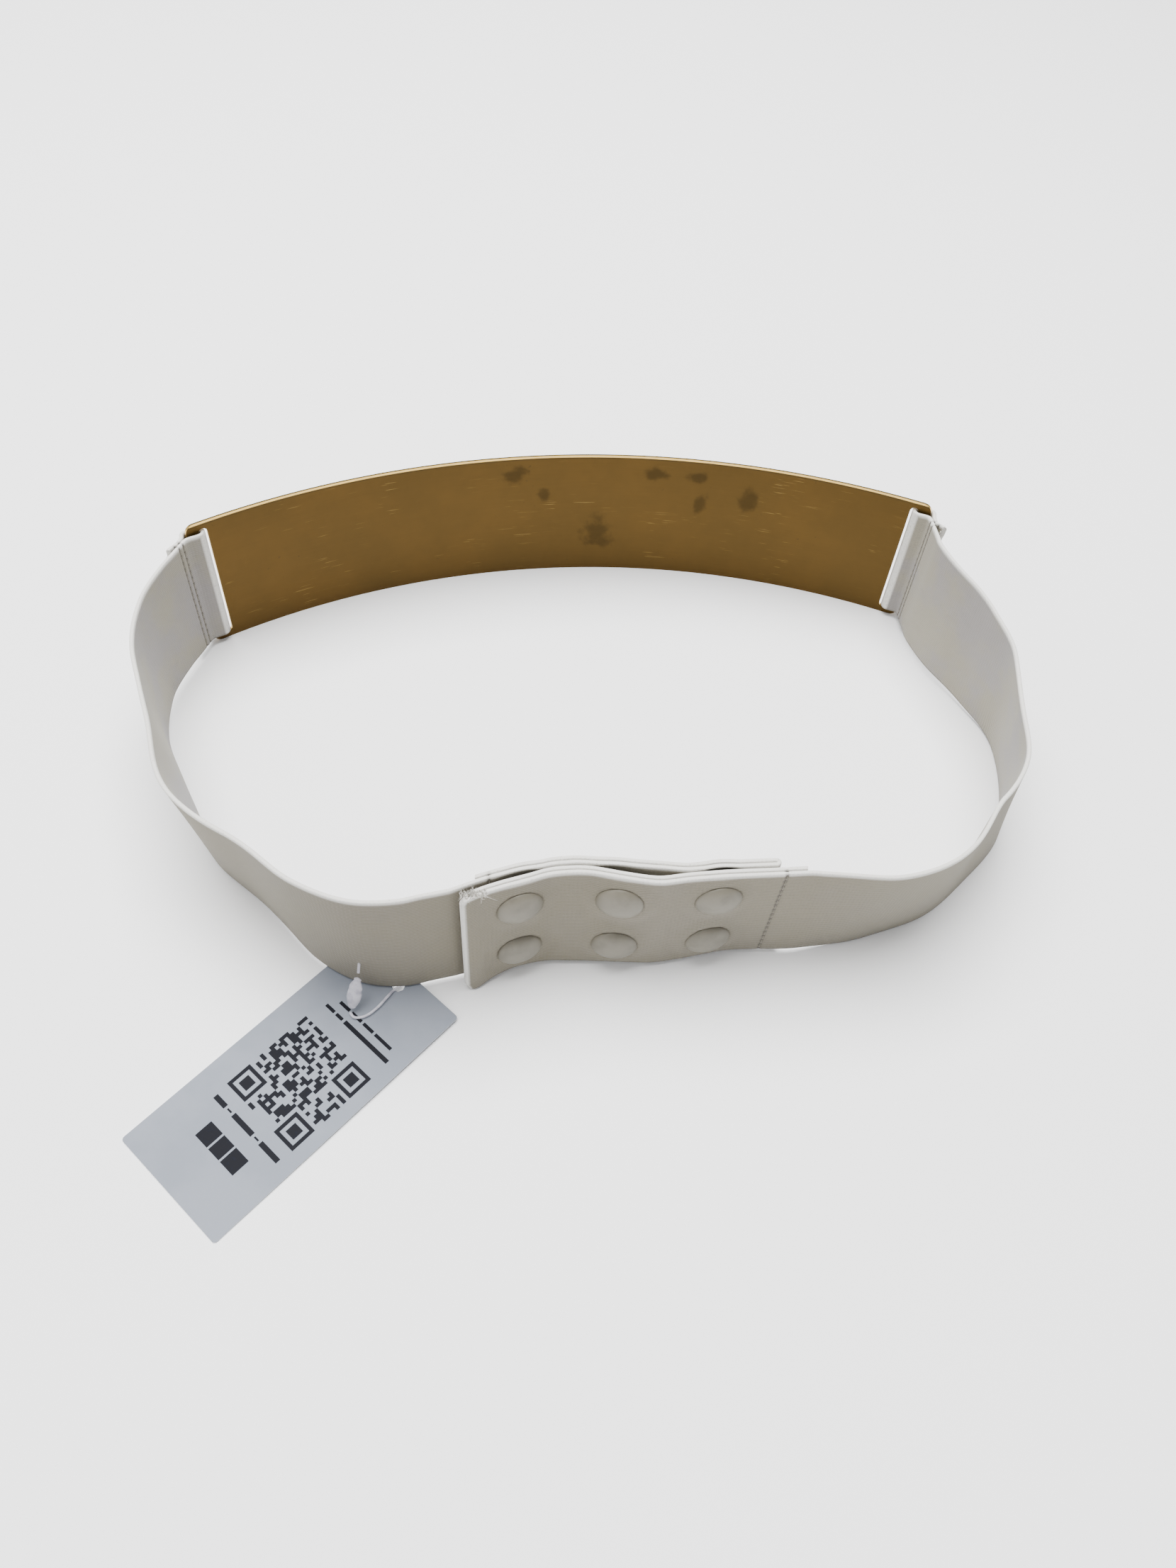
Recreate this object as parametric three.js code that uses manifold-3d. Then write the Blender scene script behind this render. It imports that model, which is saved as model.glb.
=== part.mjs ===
// Elastic waist belt with a curved metal plate, press-stud rear closure and swing tag.
// Millimetres, +Z up. The belt stands on its lower edges; the plate is at +Y, the closure at -Y.
import * as THREE from "three";
import { mergeVertices } from "three/addons/utils/BufferGeometryUtils.js";
import Module from "manifold-3d";

const wasm = await Module();
wasm.setup();

// ---- driving dimensions ----
const clearance = 0.3;          // between pieces that touch on the real belt

const plateLength = 260;        // along the arc
const plateHeight = 51;
const plateThickness = 1.2;
const plateRadius = 255;        // of the middle of the sheet
const plateCorner = 3;
const slotWidth = 3;
const slotEndWall = 2.3;        // metal left above and below a slot
const endBar = 4;               // metal between a slot and the plate's end

const strapWidth = 45;
const strapThickness = 1.3;
const layerGap = 0.1;           // between two layers sewn together
const loopSlack = 0.7;          // between a strap loop and the bar it swivels on
const loopReach = 1.7;          // from the plate's end, past the slack, to where the two layers meet
const loopShoulder = 1.5;       // how far past the plate's end the outer layer curves down
const leftBend = 35;            // degrees from the plate's end tangent to the strap
const rightBend = 62;
const loopTail = 6;             // raw end of the strap past the bar
const loopRoot = 8;             // length of the sewn loop past the bar
const loopRows = [1.6, 3.6];    // stitch rows, from where the two layers meet

const closureInnerY = -132.2;   // inner face of the under tab
const closureLift = 1.8;        // lower edge of the closure above the table
const underTabEndX = 43.5;
const underTabRootX = -45;
const underTailX = -38;
const underSeamX = -34.5;
const outerTabEndX = -42.5;
const outerTabRootX = 50;
const outerSeamX = 44.4;
const tabGap = 2.6;             // between the fastened tabs

const threadThickness = 0.4;
const stitchBars = 6;
const stitchMargin = 1.6;       // first stitch from the strap's edge

const snapColumnPitch = 26.9;
const snapRowPitch = 22.5;
const snapCentreX = 0.3;
const capRadius = 6.6;
const capDome = 1.5;
const capRim = 0.4;
const capPostRadius = 1.2;
const socketRadius = 5.5;
const socketWall = 1.1;         // collar wall round the cap's post
const collarLength = 1.9;
const studFlange = 5;
const studFlangeThickness = 0.5;
const studRadius = 1.9;
const studHeight = 1;
const recessClearance = 0.4;
const pinRadius = 1;
const pinFlange = 4.5;
const pinFlangeThickness = 0.9;

const tagLength = 84;
const tagWidth = 39;
const tagThickness = 0.4;
const tagCorner = 1;
const tagHoleRadius = 1.9;
const tagHoleInset = 4.8;       // hole's centre from the tag's short edge
const tagLift = 1;              // the loop under the tag holds that end up
const tagAngle = -138;          // degrees, from the hole to the tag's far end
const tagHole = new THREE.Vector2(-61.3, -142.2);
const filamentDiameter = 0.8;
const lockWidth = 4.2;
const lockThickness = 2.6;

// ---- materials ----
const material = (color, roughness, metalness) =>
  new THREE.MeshStandardMaterial({ color, roughness, metalness });
const brass = material(0x8a6a35, 0.38, 0.9);
const elastic = material(0xd9d4c6, 0.9, 0);
const thread = material(0xc9c3b2, 0.85, 0);
const enamel = material(0xdcd7ca, 0.35, 0.1);
const nickel = material(0xb4b1aa, 0.3, 0.9);
const board = material(0xb3bcc8, 0.7, 0);
const nylon = material(0xdfe3e6, 0.25, 0);

const piece = (name, geometry, finish, parent) => {
  const mesh = new THREE.Mesh(geometry, finish.clone());
  mesh.name = name;
  parent.add(mesh);
  return mesh;
};

// ---- joining and cutting ----
const toSolid = (geometry) => {
  const bare = geometry.clone();
  bare.deleteAttribute("normal");
  bare.deleteAttribute("uv");
  const merged = mergeVertices(bare, 1e-4);
  return new wasm.Manifold(new wasm.Mesh({
    numProp: 3,
    vertProperties: new Float32Array(merged.attributes.position.array),
    triVerts: new Uint32Array(merged.index.array),
  }));
};

const toGeometry = (solid) => {
  const mesh = solid.getMesh();
  const geometry = new THREE.BufferGeometry();
  geometry.setAttribute("position", new THREE.BufferAttribute(mesh.vertProperties, 3));
  geometry.setIndex(new THREE.BufferAttribute(mesh.triVerts, 1));
  return geometry;
};

const cut = (geometry, tools) =>
  toGeometry(tools.reduce((solid, tool) => solid.subtract(toSolid(tool)), toSolid(geometry)));

// ---- outlines ----
// Closed outline of a strap of one thickness that follows a line seen from above.
const ribbonShape = (points, thickness) => {
  const along = points.map((point, i) => {
    const before = points[Math.max(i - 1, 0)];
    const after = points[Math.min(i + 1, points.length - 1)];
    return after.clone().sub(before).normalize();
  });
  const offset = (distance) => points.map((point, i) =>
    new THREE.Vector2(point.x - along[i].y * distance, point.y + along[i].x * distance));
  return new THREE.Shape([...offset(thickness / 2), ...offset(-thickness / 2).reverse()]);
};

const extrudeUp = (shape, bottom, height) =>
  new THREE.ExtrudeGeometry(shape, { depth: height, bevelEnabled: false, curveSegments: 8 })
    .translate(0, 0, bottom);

// ---- plate ----
const plateHalfAngle = plateLength / plateRadius / 2;
const plateCentreY = -plateRadius * Math.cos(plateHalfAngle);
const onPlate = (angle, radius) => new THREE.Vector2(
  radius * Math.sin(angle), plateCentreY + radius * Math.cos(angle));

// Frame at one end of the plate, side 1 is right and -1 is left: t points along the sheet and out
// past its end, n points out of its convex face.
const endFrame = (side, inset) => {
  const angle = side * (plateHalfAngle - inset / plateRadius);
  return {
    origin: onPlate(angle, plateRadius),
    t: new THREE.Vector2(side * Math.cos(angle), -side * Math.sin(angle)),
    n: new THREE.Vector2(Math.sin(angle), Math.cos(angle)),
  };
};

const inFrame = (frame, point) => frame.origin.clone()
  .addScaledVector(frame.t, point.x)
  .addScaledVector(frame.n, point.y);

const plateGeometry = () => {
  const steps = 34;
  const angles = Array.from({ length: steps + 1 }, (_, i) => (2 * i / steps - 1) * plateHalfAngle);
  const outer = angles.map((angle) => onPlate(angle, plateRadius + plateThickness / 2));
  const inner = angles.map((angle) => onPlate(angle, plateRadius - plateThickness / 2));
  const sheet = extrudeUp(new THREE.Shape([...outer, ...inner.reverse()]), 0, plateHeight);

  // Slots and corners are drawn as seen along the sheet's normal, x past the end and y up.
  const slotRadius = slotWidth / 2;
  const slotX = -endBar - slotRadius;
  const slotLow = slotEndWall + slotRadius;
  const slot = new THREE.Shape();
  slot.absarc(slotX, plateHeight - slotLow, slotRadius, 0, Math.PI, false);
  slot.absarc(slotX, slotLow, slotRadius, Math.PI, 2 * Math.PI, false);

  const spare = 1;
  const corner = new THREE.Shape();
  corner.moveTo(-plateCorner, plateHeight);
  corner.lineTo(-plateCorner, plateHeight + spare);
  corner.lineTo(spare, plateHeight + spare);
  corner.lineTo(spare, plateHeight - plateCorner);
  corner.lineTo(0, plateHeight - plateCorner);
  corner.absarc(-plateCorner, plateHeight - plateCorner, plateCorner, 0, Math.PI / 2, false);

  const reach = 3 * plateThickness;
  const through = (shape) =>
    new THREE.ExtrudeGeometry(shape, { depth: 2 * reach, bevelEnabled: false, curveSegments: 6 })
      .translate(0, 0, -reach);
  const turnOver = new THREE.Matrix4().makeRotationX(Math.PI)
    .premultiply(new THREE.Matrix4().makeTranslation(0, plateHeight, 0));

  const tools = [1, -1].flatMap((side) => {
    const frame = endFrame(side, 0);
    const t = new THREE.Vector3(frame.t.x, frame.t.y, 0);
    const up = new THREE.Vector3(0, 0, 1);
    const place = new THREE.Matrix4().makeBasis(t, up, t.clone().cross(up))
      .setPosition(frame.origin.x, frame.origin.y, 0);
    return [through(slot), through(corner), through(corner).applyMatrix4(turnOver)]
      .map((tool) => tool.applyMatrix4(place));
  });
  return cut(sheet, tools);
};

// ---- stitches ----
// A row of stitches: the threads on both faces and the turns that join them through the strap.
// across points through the strap's thickness, centre is the middle of the row seen from above.
const rowHeights = (bottom) => Array.from({ length: stitchBars }, (_, i) =>
  bottom + stitchMargin + (strapWidth - 2 * stitchMargin) * i / (stitchBars - 1));

const rowPlace = (centre, across) => {
  const out = new THREE.Vector3(across.x, across.y, 0);
  const up = new THREE.Vector3(0, 0, 1);
  return new THREE.Matrix4().makeBasis(out, up, out.clone().cross(up))
    .setPosition(centre.x, centre.y, 0);
};

const stitchRow = (centre, across, thickness, bottom) => {
  const half = threadThickness / 2;
  const inner = thickness / 2 + clearance;
  const outer = inner + threadThickness;
  const heights = rowHeights(bottom);
  const low = heights[0] - half;
  const high = heights[stitchBars - 1] + half;
  const shape = new THREE.Shape([[-outer, low], [outer, low], [outer, high], [-outer, high]]
    .map(([x, y]) => new THREE.Vector2(x, y)));
  for (let i = 0; i + 1 < stitchBars; i += 1) {
    const from = heights[i] + half;
    const to = heights[i + 1] - half;
    shape.holes.push(new THREE.Path([[-inner, from], [-inner, to], [inner, to], [inner, from]]
      .map(([x, y]) => new THREE.Vector2(x, y))));
  }
  return new THREE.ExtrudeGeometry(shape, { depth: threadThickness, bevelEnabled: false })
    .translate(0, 0, -half).applyMatrix4(rowPlace(centre, across));
};

const stitchHoles = (centre, across, thickness, bottom) => {
  const width = threadThickness + 2 * clearance;
  return rowHeights(bottom).map((height) =>
    new THREE.BoxGeometry(2 * thickness, width, width)
      .translate(0, height, 0).applyMatrix4(rowPlace(centre, across)));
};

// ---- strap loops round the plate's end bars ----
const doubled = 2 * strapThickness + layerGap;
const loopBottom = (plateHeight - strapWidth) / 2;

const sides = {
  left: { side: -1, bend: THREE.MathUtils.degToRad(leftBend) },
  right: { side: 1, bend: THREE.MathUtils.degToRad(rightBend) },
};

// The loop in the frame of its bar: f runs along the sewn strap, m points out of it.
const loopLines = ({ side, bend }) => {
  const frame = endFrame(side, endBar / 2);
  const f = new THREE.Vector2(Math.cos(bend), -Math.sin(bend));
  const m = new THREE.Vector2(Math.sin(bend), Math.cos(bend));
  const layer = (strapThickness + layerGap) / 2;
  const meet = new THREE.Vector2(endBar / 2, -plateThickness / 2)
    .addScaledVector(f, loopReach + loopSlack / 2)
    .addScaledVector(m, layer - clearance);
  const at = (along, out) => meet.clone().addScaledVector(f, along).addScaledVector(m, out);
  return { frame, f, m, layer, at };
};

const loopGeometry = (which) => {
  const { frame, f, m, layer, at } = loopLines(which);
  const turn = plateThickness / 2 + loopSlack + strapThickness / 2;
  const turnX = -endBar / 2 + clearance;
  const path = new THREE.Path();
  const tail = at(loopTail, layer);
  path.moveTo(tail.x, tail.y);
  const outerMeet = at(0.4, layer);
  path.lineTo(outerMeet.x, outerMeet.y);
  const outerPull = at(-1.8, layer);
  path.bezierCurveTo(outerPull.x, outerPull.y, endBar / 2 + loopShoulder, turn, endBar / 2 - 0.2, turn);
  path.lineTo(turnX, turn);
  path.absarc(turnX, 0, turn, Math.PI / 2, 1.5 * Math.PI, false);
  const innerMeet = at(0.8, -layer);
  const innerPull = at(-1.6, -layer);
  path.bezierCurveTo(turnX + 2.6, -turn, innerPull.x, innerPull.y, innerMeet.x, innerMeet.y);
  const root = at(loopRoot, -layer);
  path.lineTo(root.x, root.y);
  const line = path.getSpacedPoints(30).map((point) => inFrame(frame, point));
  const loop = extrudeUp(ribbonShape(line, strapThickness), loopBottom, strapWidth);
  const holes = loopRows.flatMap((along) => {
    const { centre, across } = rowAt(which, along);
    return stitchHoles(centre, across, doubled, loopBottom);
  });
  return cut(loop, holes);
};

const rowAt = (which, along) => {
  const { frame, m, at } = loopLines(which);
  const across = new THREE.Vector2()
    .addScaledVector(frame.t, m.x)
    .addScaledVector(frame.n, m.y);
  return { centre: inFrame(frame, at(along, 0)), across };
};

// ---- free straps between the loops and the closure ----
// Points by hand, from the plate to the closure, on the middle of the strap seen from above.
const underMainY = closureInnerY - 1.5 * strapThickness - layerGap;
const outerInnerY = closureInnerY - doubled - tabGap;
const outerMainY = outerInnerY - 1.5 * strapThickness - layerGap;

const strapRoutes = {
  left: {
    points: [[-134.9, -29], [-134, -47], [-124.2, -72], [-115, -95.5], [-98.5, -112.8],
      [-84, -131.5], [-71.5, -140.4], [-59, -142], [-50.5, -138.8]],
    lead: [underTabRootX - 3, underMainY - 0.8],
    end: [underTabRootX - clearance, underMainY],
    lean: (u) => 13 * bump(u, 0.62, 0.3),
    lift: [0.55, 0.72],
  },
  right: {
    points: [[126.2, -30.4], [133.2, -46], [139.6, -64], [137.3, -84.3], [129.2, -104],
      [114.6, -117.6], [98, -129.4], [77.7, -135.6]],
    lead: [outerTabRootX + 6, outerMainY],
    end: [outerTabRootX + clearance, outerMainY],
    lean: (u) => 9.5 * bump(u, 0.82, 0.18) - 10.5 * bump(u, 0.38, 0.26),
    lift: [0.86, 0.99],
  },
};

// Smooth hump of height 1 at middle, down to 0 at middle - width and middle + width.
const bump = (u, middle, width) => {
  const x = Math.min(Math.abs(u - middle) / width, 1);
  return (1 - x * x) ** 2;
};

// The lower edge comes down from the plate's middle to the table and up again to the closure.
const lowerEdge = (u, lift) =>
  loopBottom * (1 - THREE.MathUtils.smoothstep(u, 0.02, 0.4))
  + closureLift * THREE.MathUtils.smoothstep(u, ...lift);

const bandLine = (name) => {
  const { frame, at, layer } = loopLines(sides[name]);
  const route = strapRoutes[name];
  const start = inFrame(frame, at(loopRoot + clearance, -layer));
  const lead = inFrame(frame, at(loopRoot + 5, -layer));
  const points = [start, lead, ...route.points.map(([x, y]) => new THREE.Vector2(x, y)),
    new THREE.Vector2(...route.lead), new THREE.Vector2(...route.end)];
  return new THREE.CatmullRomCurve3(points.map(({ x, y }) => new THREE.Vector3(x, y, 0)),
    false, "centripetal");
};

// Each ring has four corners, going round the strap's section.
const bandGeometry = (name) => {
  const steps = 36;
  const curve = bandLine(name);
  const outwards = sides[name].side;
  const half = strapThickness / 2;
  const positions = [];
  for (let i = 0; i <= steps; i += 1) {
    const u = i / steps;
    const centre = curve.getPointAt(u);
    const along = curve.getTangentAt(u);
    const leftHand = new THREE.Vector3(-along.y, along.x, 0).normalize();
    const lean = THREE.MathUtils.degToRad(strapRoutes[name].lean(u)) * outwards;
    const up = new THREE.Vector3(0, 0, Math.cos(lean)).addScaledVector(leftHand, Math.sin(lean));
    const out = leftHand.clone().multiplyScalar(Math.cos(lean));
    out.z = -Math.sin(lean);
    centre.z = lowerEdge(u, strapRoutes[name].lift) + half * Math.abs(Math.sin(lean));
    for (const [across, height] of [[-half, 0], [half, 0], [half, strapWidth], [-half, strapWidth]]) {
      const corner = centre.clone().addScaledVector(out, across).addScaledVector(up, height);
      positions.push(corner.x, corner.y, corner.z);
    }
  }
  const index = [];
  for (let i = 0; i < steps; i += 1) {
    for (let j = 0; j < 4; j += 1) {
      const a = 4 * i + j;
      const b = 4 * i + (j + 1) % 4;
      index.push(a, b, a + 4, b, b + 4, a + 4);
    }
  }
  const last = 4 * steps;
  index.push(0, 2, 1, 0, 3, 2, last, last + 1, last + 2, last, last + 2, last + 3);
  const geometry = new THREE.BufferGeometry();
  geometry.setAttribute("position", new THREE.Float32BufferAttribute(positions, 3));
  geometry.setIndex(index);
  return geometry;
};

// ---- closure tabs ----
// A folded strap end: the main layer runs from rootX to the fold at endX, the other comes back.
const tabGeometry = (rootX, endX, tailX, mainY, tailY, seamX, holeRadius) => {
  const towards = Math.sign(endX - rootX);
  const bendRadius = Math.abs(mainY - tailY) / 2;
  const bendX = endX - towards * (bendRadius + strapThickness / 2);
  const middleY = (mainY + tailY) / 2;
  const from = Math.sign(mainY - middleY) * Math.PI / 2;
  const bend = new THREE.EllipseCurve(bendX, middleY, bendRadius, bendRadius, from, -from,
    towards * from > 0);
  const line = [new THREE.Vector2(rootX, mainY), ...bend.getPoints(8),
    new THREE.Vector2(tailX, tailY)];
  const tab = extrudeUp(ribbonShape(line, strapThickness), closureLift, strapWidth);
  const holes = snapPlaces.map(({ x, z }) =>
    new THREE.CylinderGeometry(holeRadius, holeRadius, 3 * doubled, 12).translate(x, middleY, z));
  const across = new THREE.Vector2(0, -1);
  return cut(tab, [...holes,
    ...stitchHoles(new THREE.Vector2(seamX, middleY), across, doubled, closureLift)]);
};

const snapPlaces = [-1, 0, 1].flatMap((column) => [-0.5, 0.5].map((row) => ({
  x: snapCentreX + column * snapColumnPitch,
  z: closureLift + strapWidth / 2 + row * snapRowPitch,
  label: `${["left", "middle", "right"][column + 1]}_${row < 0 ? "lower" : "upper"}`,
})));

// ---- press studs ----
// Profiles are (radius, depth); depth runs outwards from the under tab's inner face.
const underFace = doubled;
const outerBack = doubled + tabGap;
const outerFace = outerBack + doubled;
const studBack = underFace + clearance;
const studFront = studBack + studFlangeThickness;
const studTop = studFront + studHeight;
const socketFront = studFront + clearance;
const socketBack = outerBack - clearance;
const recessTop = studTop + clearance;
const collarBore = capPostRadius + clearance;
const collarRadius = collarBore + socketWall;
const pinTop = studBack + 0.8;

const turned = (profile, segments) => new THREE.LatheGeometry(
  profile.map(([radius, depth]) => new THREE.Vector2(radius, depth)), segments);

const capProfile = () => {
  const seat = outerFace + clearance;
  const dome = [0.96, 0.82, 0.6, 0.32, 0].map((share) =>
    [capRadius * share, seat + capRim + capDome * (1 - share ** 2.4)]);
  return [[0, recessTop + clearance], [capPostRadius, recessTop + clearance], [capPostRadius, seat],
    [capRadius - capRim, seat], [capRadius, seat + capRim], ...dome];
};

const socketProfile = () => {
  const recess = studRadius + recessClearance;
  const collarTop = socketBack + collarLength;
  return [[recess, socketFront], [socketRadius, socketFront], [socketRadius, socketBack - 0.4],
    [socketRadius - 0.6, socketBack], [collarRadius, socketBack], [collarRadius, collarTop],
    [collarBore, collarTop], [collarBore, recessTop], [recess, recessTop], [recess, socketFront]];
};

const studProfile = () => {
  const bore = pinRadius + clearance;
  return [[0, pinTop + clearance], [bore, pinTop + clearance], [bore, studBack],
    [studFlange, studBack], [studFlange, studBack + 0.3], [studFlange - 0.5, studFront],
    [studRadius - 0.2, studFront], [studRadius, studFront + 0.5], [studRadius - 0.2, studTop],
    [0, studTop]];
};

const pinProfile = () => {
  const seat = -clearance;
  const back = seat - pinFlangeThickness;
  return [[0, back], [pinFlange - 1.2, back + 0.1], [pinFlange, back + 0.5], [pinFlange, seat],
    [pinRadius, seat], [pinRadius, pinTop], [0, pinTop]];
};

const addPressStuds = (parent) => {
  const kinds = [
    ["cap", capProfile(), 16, enamel],
    ["socket", socketProfile(), 12, nickel],
    ["stud", studProfile(), 12, nickel],
    ["pin", pinProfile(), 12, nickel],
  ];
  for (const { x, z, label } of snapPlaces) {
    for (const [kind, profile, segments, finish] of kinds) {
      const mesh = piece(`${kind}_${label}`, turned(profile, segments), finish, parent);
      mesh.position.set(x, closureInnerY, z);
      mesh.rotation.z = Math.PI;
    }
  }
};

// ---- swing tag ----
const tagGeometry = () => {
  const half = tagWidth / 2;
  const shape = new THREE.Shape();
  shape.moveTo(tagCorner, -half);
  shape.lineTo(tagLength - tagCorner, -half);
  shape.absarc(tagLength - tagCorner, -half + tagCorner, tagCorner, -Math.PI / 2, 0, false);
  shape.absarc(tagLength - tagCorner, half - tagCorner, tagCorner, 0, Math.PI / 2, false);
  shape.absarc(tagCorner, half - tagCorner, tagCorner, Math.PI / 2, Math.PI, false);
  shape.absarc(tagCorner, -half + tagCorner, tagCorner, Math.PI, 1.5 * Math.PI, false);
  const hole = new THREE.Path();
  hole.absarc(tagLength - tagHoleInset, 0, tagHoleRadius, 0, 2 * Math.PI, true);
  shape.holes.push(hole);
  return new THREE.ExtrudeGeometry(shape, { depth: tagThickness, bevelEnabled: false, curveSegments: 4 });
};

const filamentRadius = filamentDiameter / 2;
const lockTop = new THREE.Vector3(-71.6, -144.4, 11.8);
const lockBottom = new THREE.Vector3(-74.3, -149.3, 3.1);

// The loop leaves the lock's lower end, goes down through the tag's hole and under the strap, up
// behind it, out through the strap and back into the lock's upper end.
const filamentRoute = [[-74.7, -150, 2.35], [-73.6, -151.4, 1.95], [-70.6, -151.3, 1.95],
  [-67.2, -149, 2.1], [-64.6, -146.2, 2.3], [-63, -144.2, 1.9], [-61.5, -142.5, 1.1],
  [-60, -141, 0.5], [-57.8, -139, 0.45], [-55.8, -137.3, 0.75], [-54.7, -136, 2.1],
  [-54.9, -134.9, 4.6], [-57.2, -134.6, 8], [-61.5, -135, 11.4], [-66.2, -135.8, 13.4],
  [-69.6, -137.4, 14.2], [-70.8, -139.6, 14.3], [-71.2, -142, 13.8], [-71.4, -143.7, 12.9]];

const pierceFrom = new THREE.Vector3(-69.9, -137.4, 14.25);
const pierceTo = new THREE.Vector3(-71.4, -141.8, 14.25);

const rod = (from, to, radius, segments) => {
  const line = to.clone().sub(from);
  const turn = new THREE.Quaternion().setFromUnitVectors(new THREE.Vector3(0, 1, 0),
    line.clone().normalize());
  const middle = from.clone().add(to).multiplyScalar(0.5);
  return new THREE.CylinderGeometry(radius, radius, line.length(), segments)
    .applyMatrix4(new THREE.Matrix4().makeRotationFromQuaternion(turn).setPosition(middle));
};

const filamentGeometry = () => {
  const section = new THREE.Shape();
  section.absarc(0, 0, filamentRadius, 0, 2 * Math.PI, false);
  const curve = new THREE.CatmullRomCurve3(
    filamentRoute.map(([x, y, z]) => new THREE.Vector3(x, y, z)), false, "centripetal");
  return new THREE.ExtrudeGeometry(section, { steps: 44, extrudePath: curve, curveSegments: 4 });
};

const lockGeometry = () => {
  const length = lockTop.distanceTo(lockBottom);
  const end = lockThickness / 2;
  const outline = new THREE.Shape();
  outline.moveTo(-lockWidth / 2 + 0.7, -length / 2);
  outline.lineTo(lockWidth / 2 - 0.7, -length / 2);
  outline.lineTo(lockWidth / 2, -length / 2 + end);
  outline.lineTo(lockWidth / 2, length / 2 - end);
  outline.lineTo(lockWidth / 2 - 0.7, length / 2);
  outline.lineTo(-lockWidth / 2 + 0.7, length / 2);
  outline.lineTo(-lockWidth / 2, length / 2 - end);
  outline.lineTo(-lockWidth / 2, -length / 2 + end);
  return new THREE.ExtrudeGeometry(outline, { depth: lockThickness, bevelEnabled: false })
    .translate(0, 0, -lockThickness / 2);
};

const addSwingTag = (parent) => {
  const hanger = new THREE.Group();
  hanger.position.set(tagHole.x, tagHole.y, 0);
  hanger.rotation.z = THREE.MathUtils.degToRad(tagAngle + 180);
  parent.add(hanger);
  const card = piece("tag_card", tagGeometry(), board, hanger);
  card.position.x = tagHoleInset - tagLength;
  card.rotation.y = -Math.asin(tagLift / tagLength);

  piece("tag_loop", filamentGeometry(), nylon, parent);
  const lock = piece("tag_lock", lockGeometry(), nylon, parent);
  const axis = lockTop.clone().sub(lockBottom).normalize();
  lock.position.copy(lockTop).add(lockBottom).multiplyScalar(0.5);
  lock.quaternion.setFromUnitVectors(new THREE.Vector3(0, 1, 0), axis);
};

// ---- assembly ----
const belt = new THREE.Group();
piece("curved_plate", plateGeometry(), brass, belt);
for (const name of ["left", "right"]) {
  piece(`${name}_loop`, loopGeometry(sides[name]), elastic, belt);
  loopRows.forEach((along, i) => {
    const { centre, across } = rowAt(sides[name], along);
    piece(`${name}_loop_stitch_${i + 1}`, stitchRow(centre, across, doubled, loopBottom), thread, belt);
  });
}
const pierced = cut(bandGeometry("left"), [rod(pierceFrom, pierceTo, filamentRadius + clearance + 0.1, 10)]);
piece("left_band", pierced, elastic, belt);
piece("right_band", bandGeometry("right"), elastic, belt);

const underTailY = closureInnerY - strapThickness / 2;
const outerTailY = outerInnerY - strapThickness / 2;
piece("under_tab", tabGeometry(underTabRootX, underTabEndX, underTailX, underMainY, underTailY,
  underSeamX, pinRadius + clearance), elastic, belt);
piece("outer_tab", tabGeometry(outerTabRootX, outerTabEndX, outerTabRootX, outerMainY, outerTailY,
  outerSeamX, collarRadius + clearance), elastic, belt);
const rearward = new THREE.Vector2(0, -1);
piece("under_tab_stitch", stitchRow(new THREE.Vector2(underSeamX, (underMainY + underTailY) / 2),
  rearward, doubled, closureLift), thread, belt);
piece("outer_tab_stitch", stitchRow(new THREE.Vector2(outerSeamX, (outerMainY + outerTailY) / 2),
  rearward, doubled, closureLift), thread, belt);
addPressStuds(belt);

const part = new THREE.Group();
part.add(belt);
addSwingTag(part);

// The origin is on the table, under the middle of the belt's own box.
belt.updateMatrixWorld(true);
const box = new THREE.Box3().setFromObject(belt, true);
part.position.set(-(box.min.x + box.max.x) / 2, -(box.min.y + box.max.y) / 2, -box.min.z);

export default part;
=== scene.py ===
import bpy
import bmesh
import math
import numpy as np
from mathutils import Matrix, Vector


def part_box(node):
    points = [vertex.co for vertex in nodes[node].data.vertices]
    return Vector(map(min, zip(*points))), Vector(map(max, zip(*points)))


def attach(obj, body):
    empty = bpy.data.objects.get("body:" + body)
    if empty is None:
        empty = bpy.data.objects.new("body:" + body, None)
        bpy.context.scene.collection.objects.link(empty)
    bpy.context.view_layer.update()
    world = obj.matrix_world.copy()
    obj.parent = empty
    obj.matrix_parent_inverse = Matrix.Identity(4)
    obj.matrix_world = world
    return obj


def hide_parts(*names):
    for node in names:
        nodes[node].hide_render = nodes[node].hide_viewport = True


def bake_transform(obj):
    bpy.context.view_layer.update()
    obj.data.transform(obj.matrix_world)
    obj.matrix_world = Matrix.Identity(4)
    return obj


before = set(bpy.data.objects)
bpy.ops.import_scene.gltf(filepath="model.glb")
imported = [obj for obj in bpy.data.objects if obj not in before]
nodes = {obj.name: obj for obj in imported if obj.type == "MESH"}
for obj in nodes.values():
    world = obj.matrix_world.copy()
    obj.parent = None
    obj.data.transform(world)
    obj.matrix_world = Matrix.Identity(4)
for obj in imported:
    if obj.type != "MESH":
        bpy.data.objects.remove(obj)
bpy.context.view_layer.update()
print("frame loaded:", len(nodes), "nodes")

mm = 0.001
tau = 2 * math.pi

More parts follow.
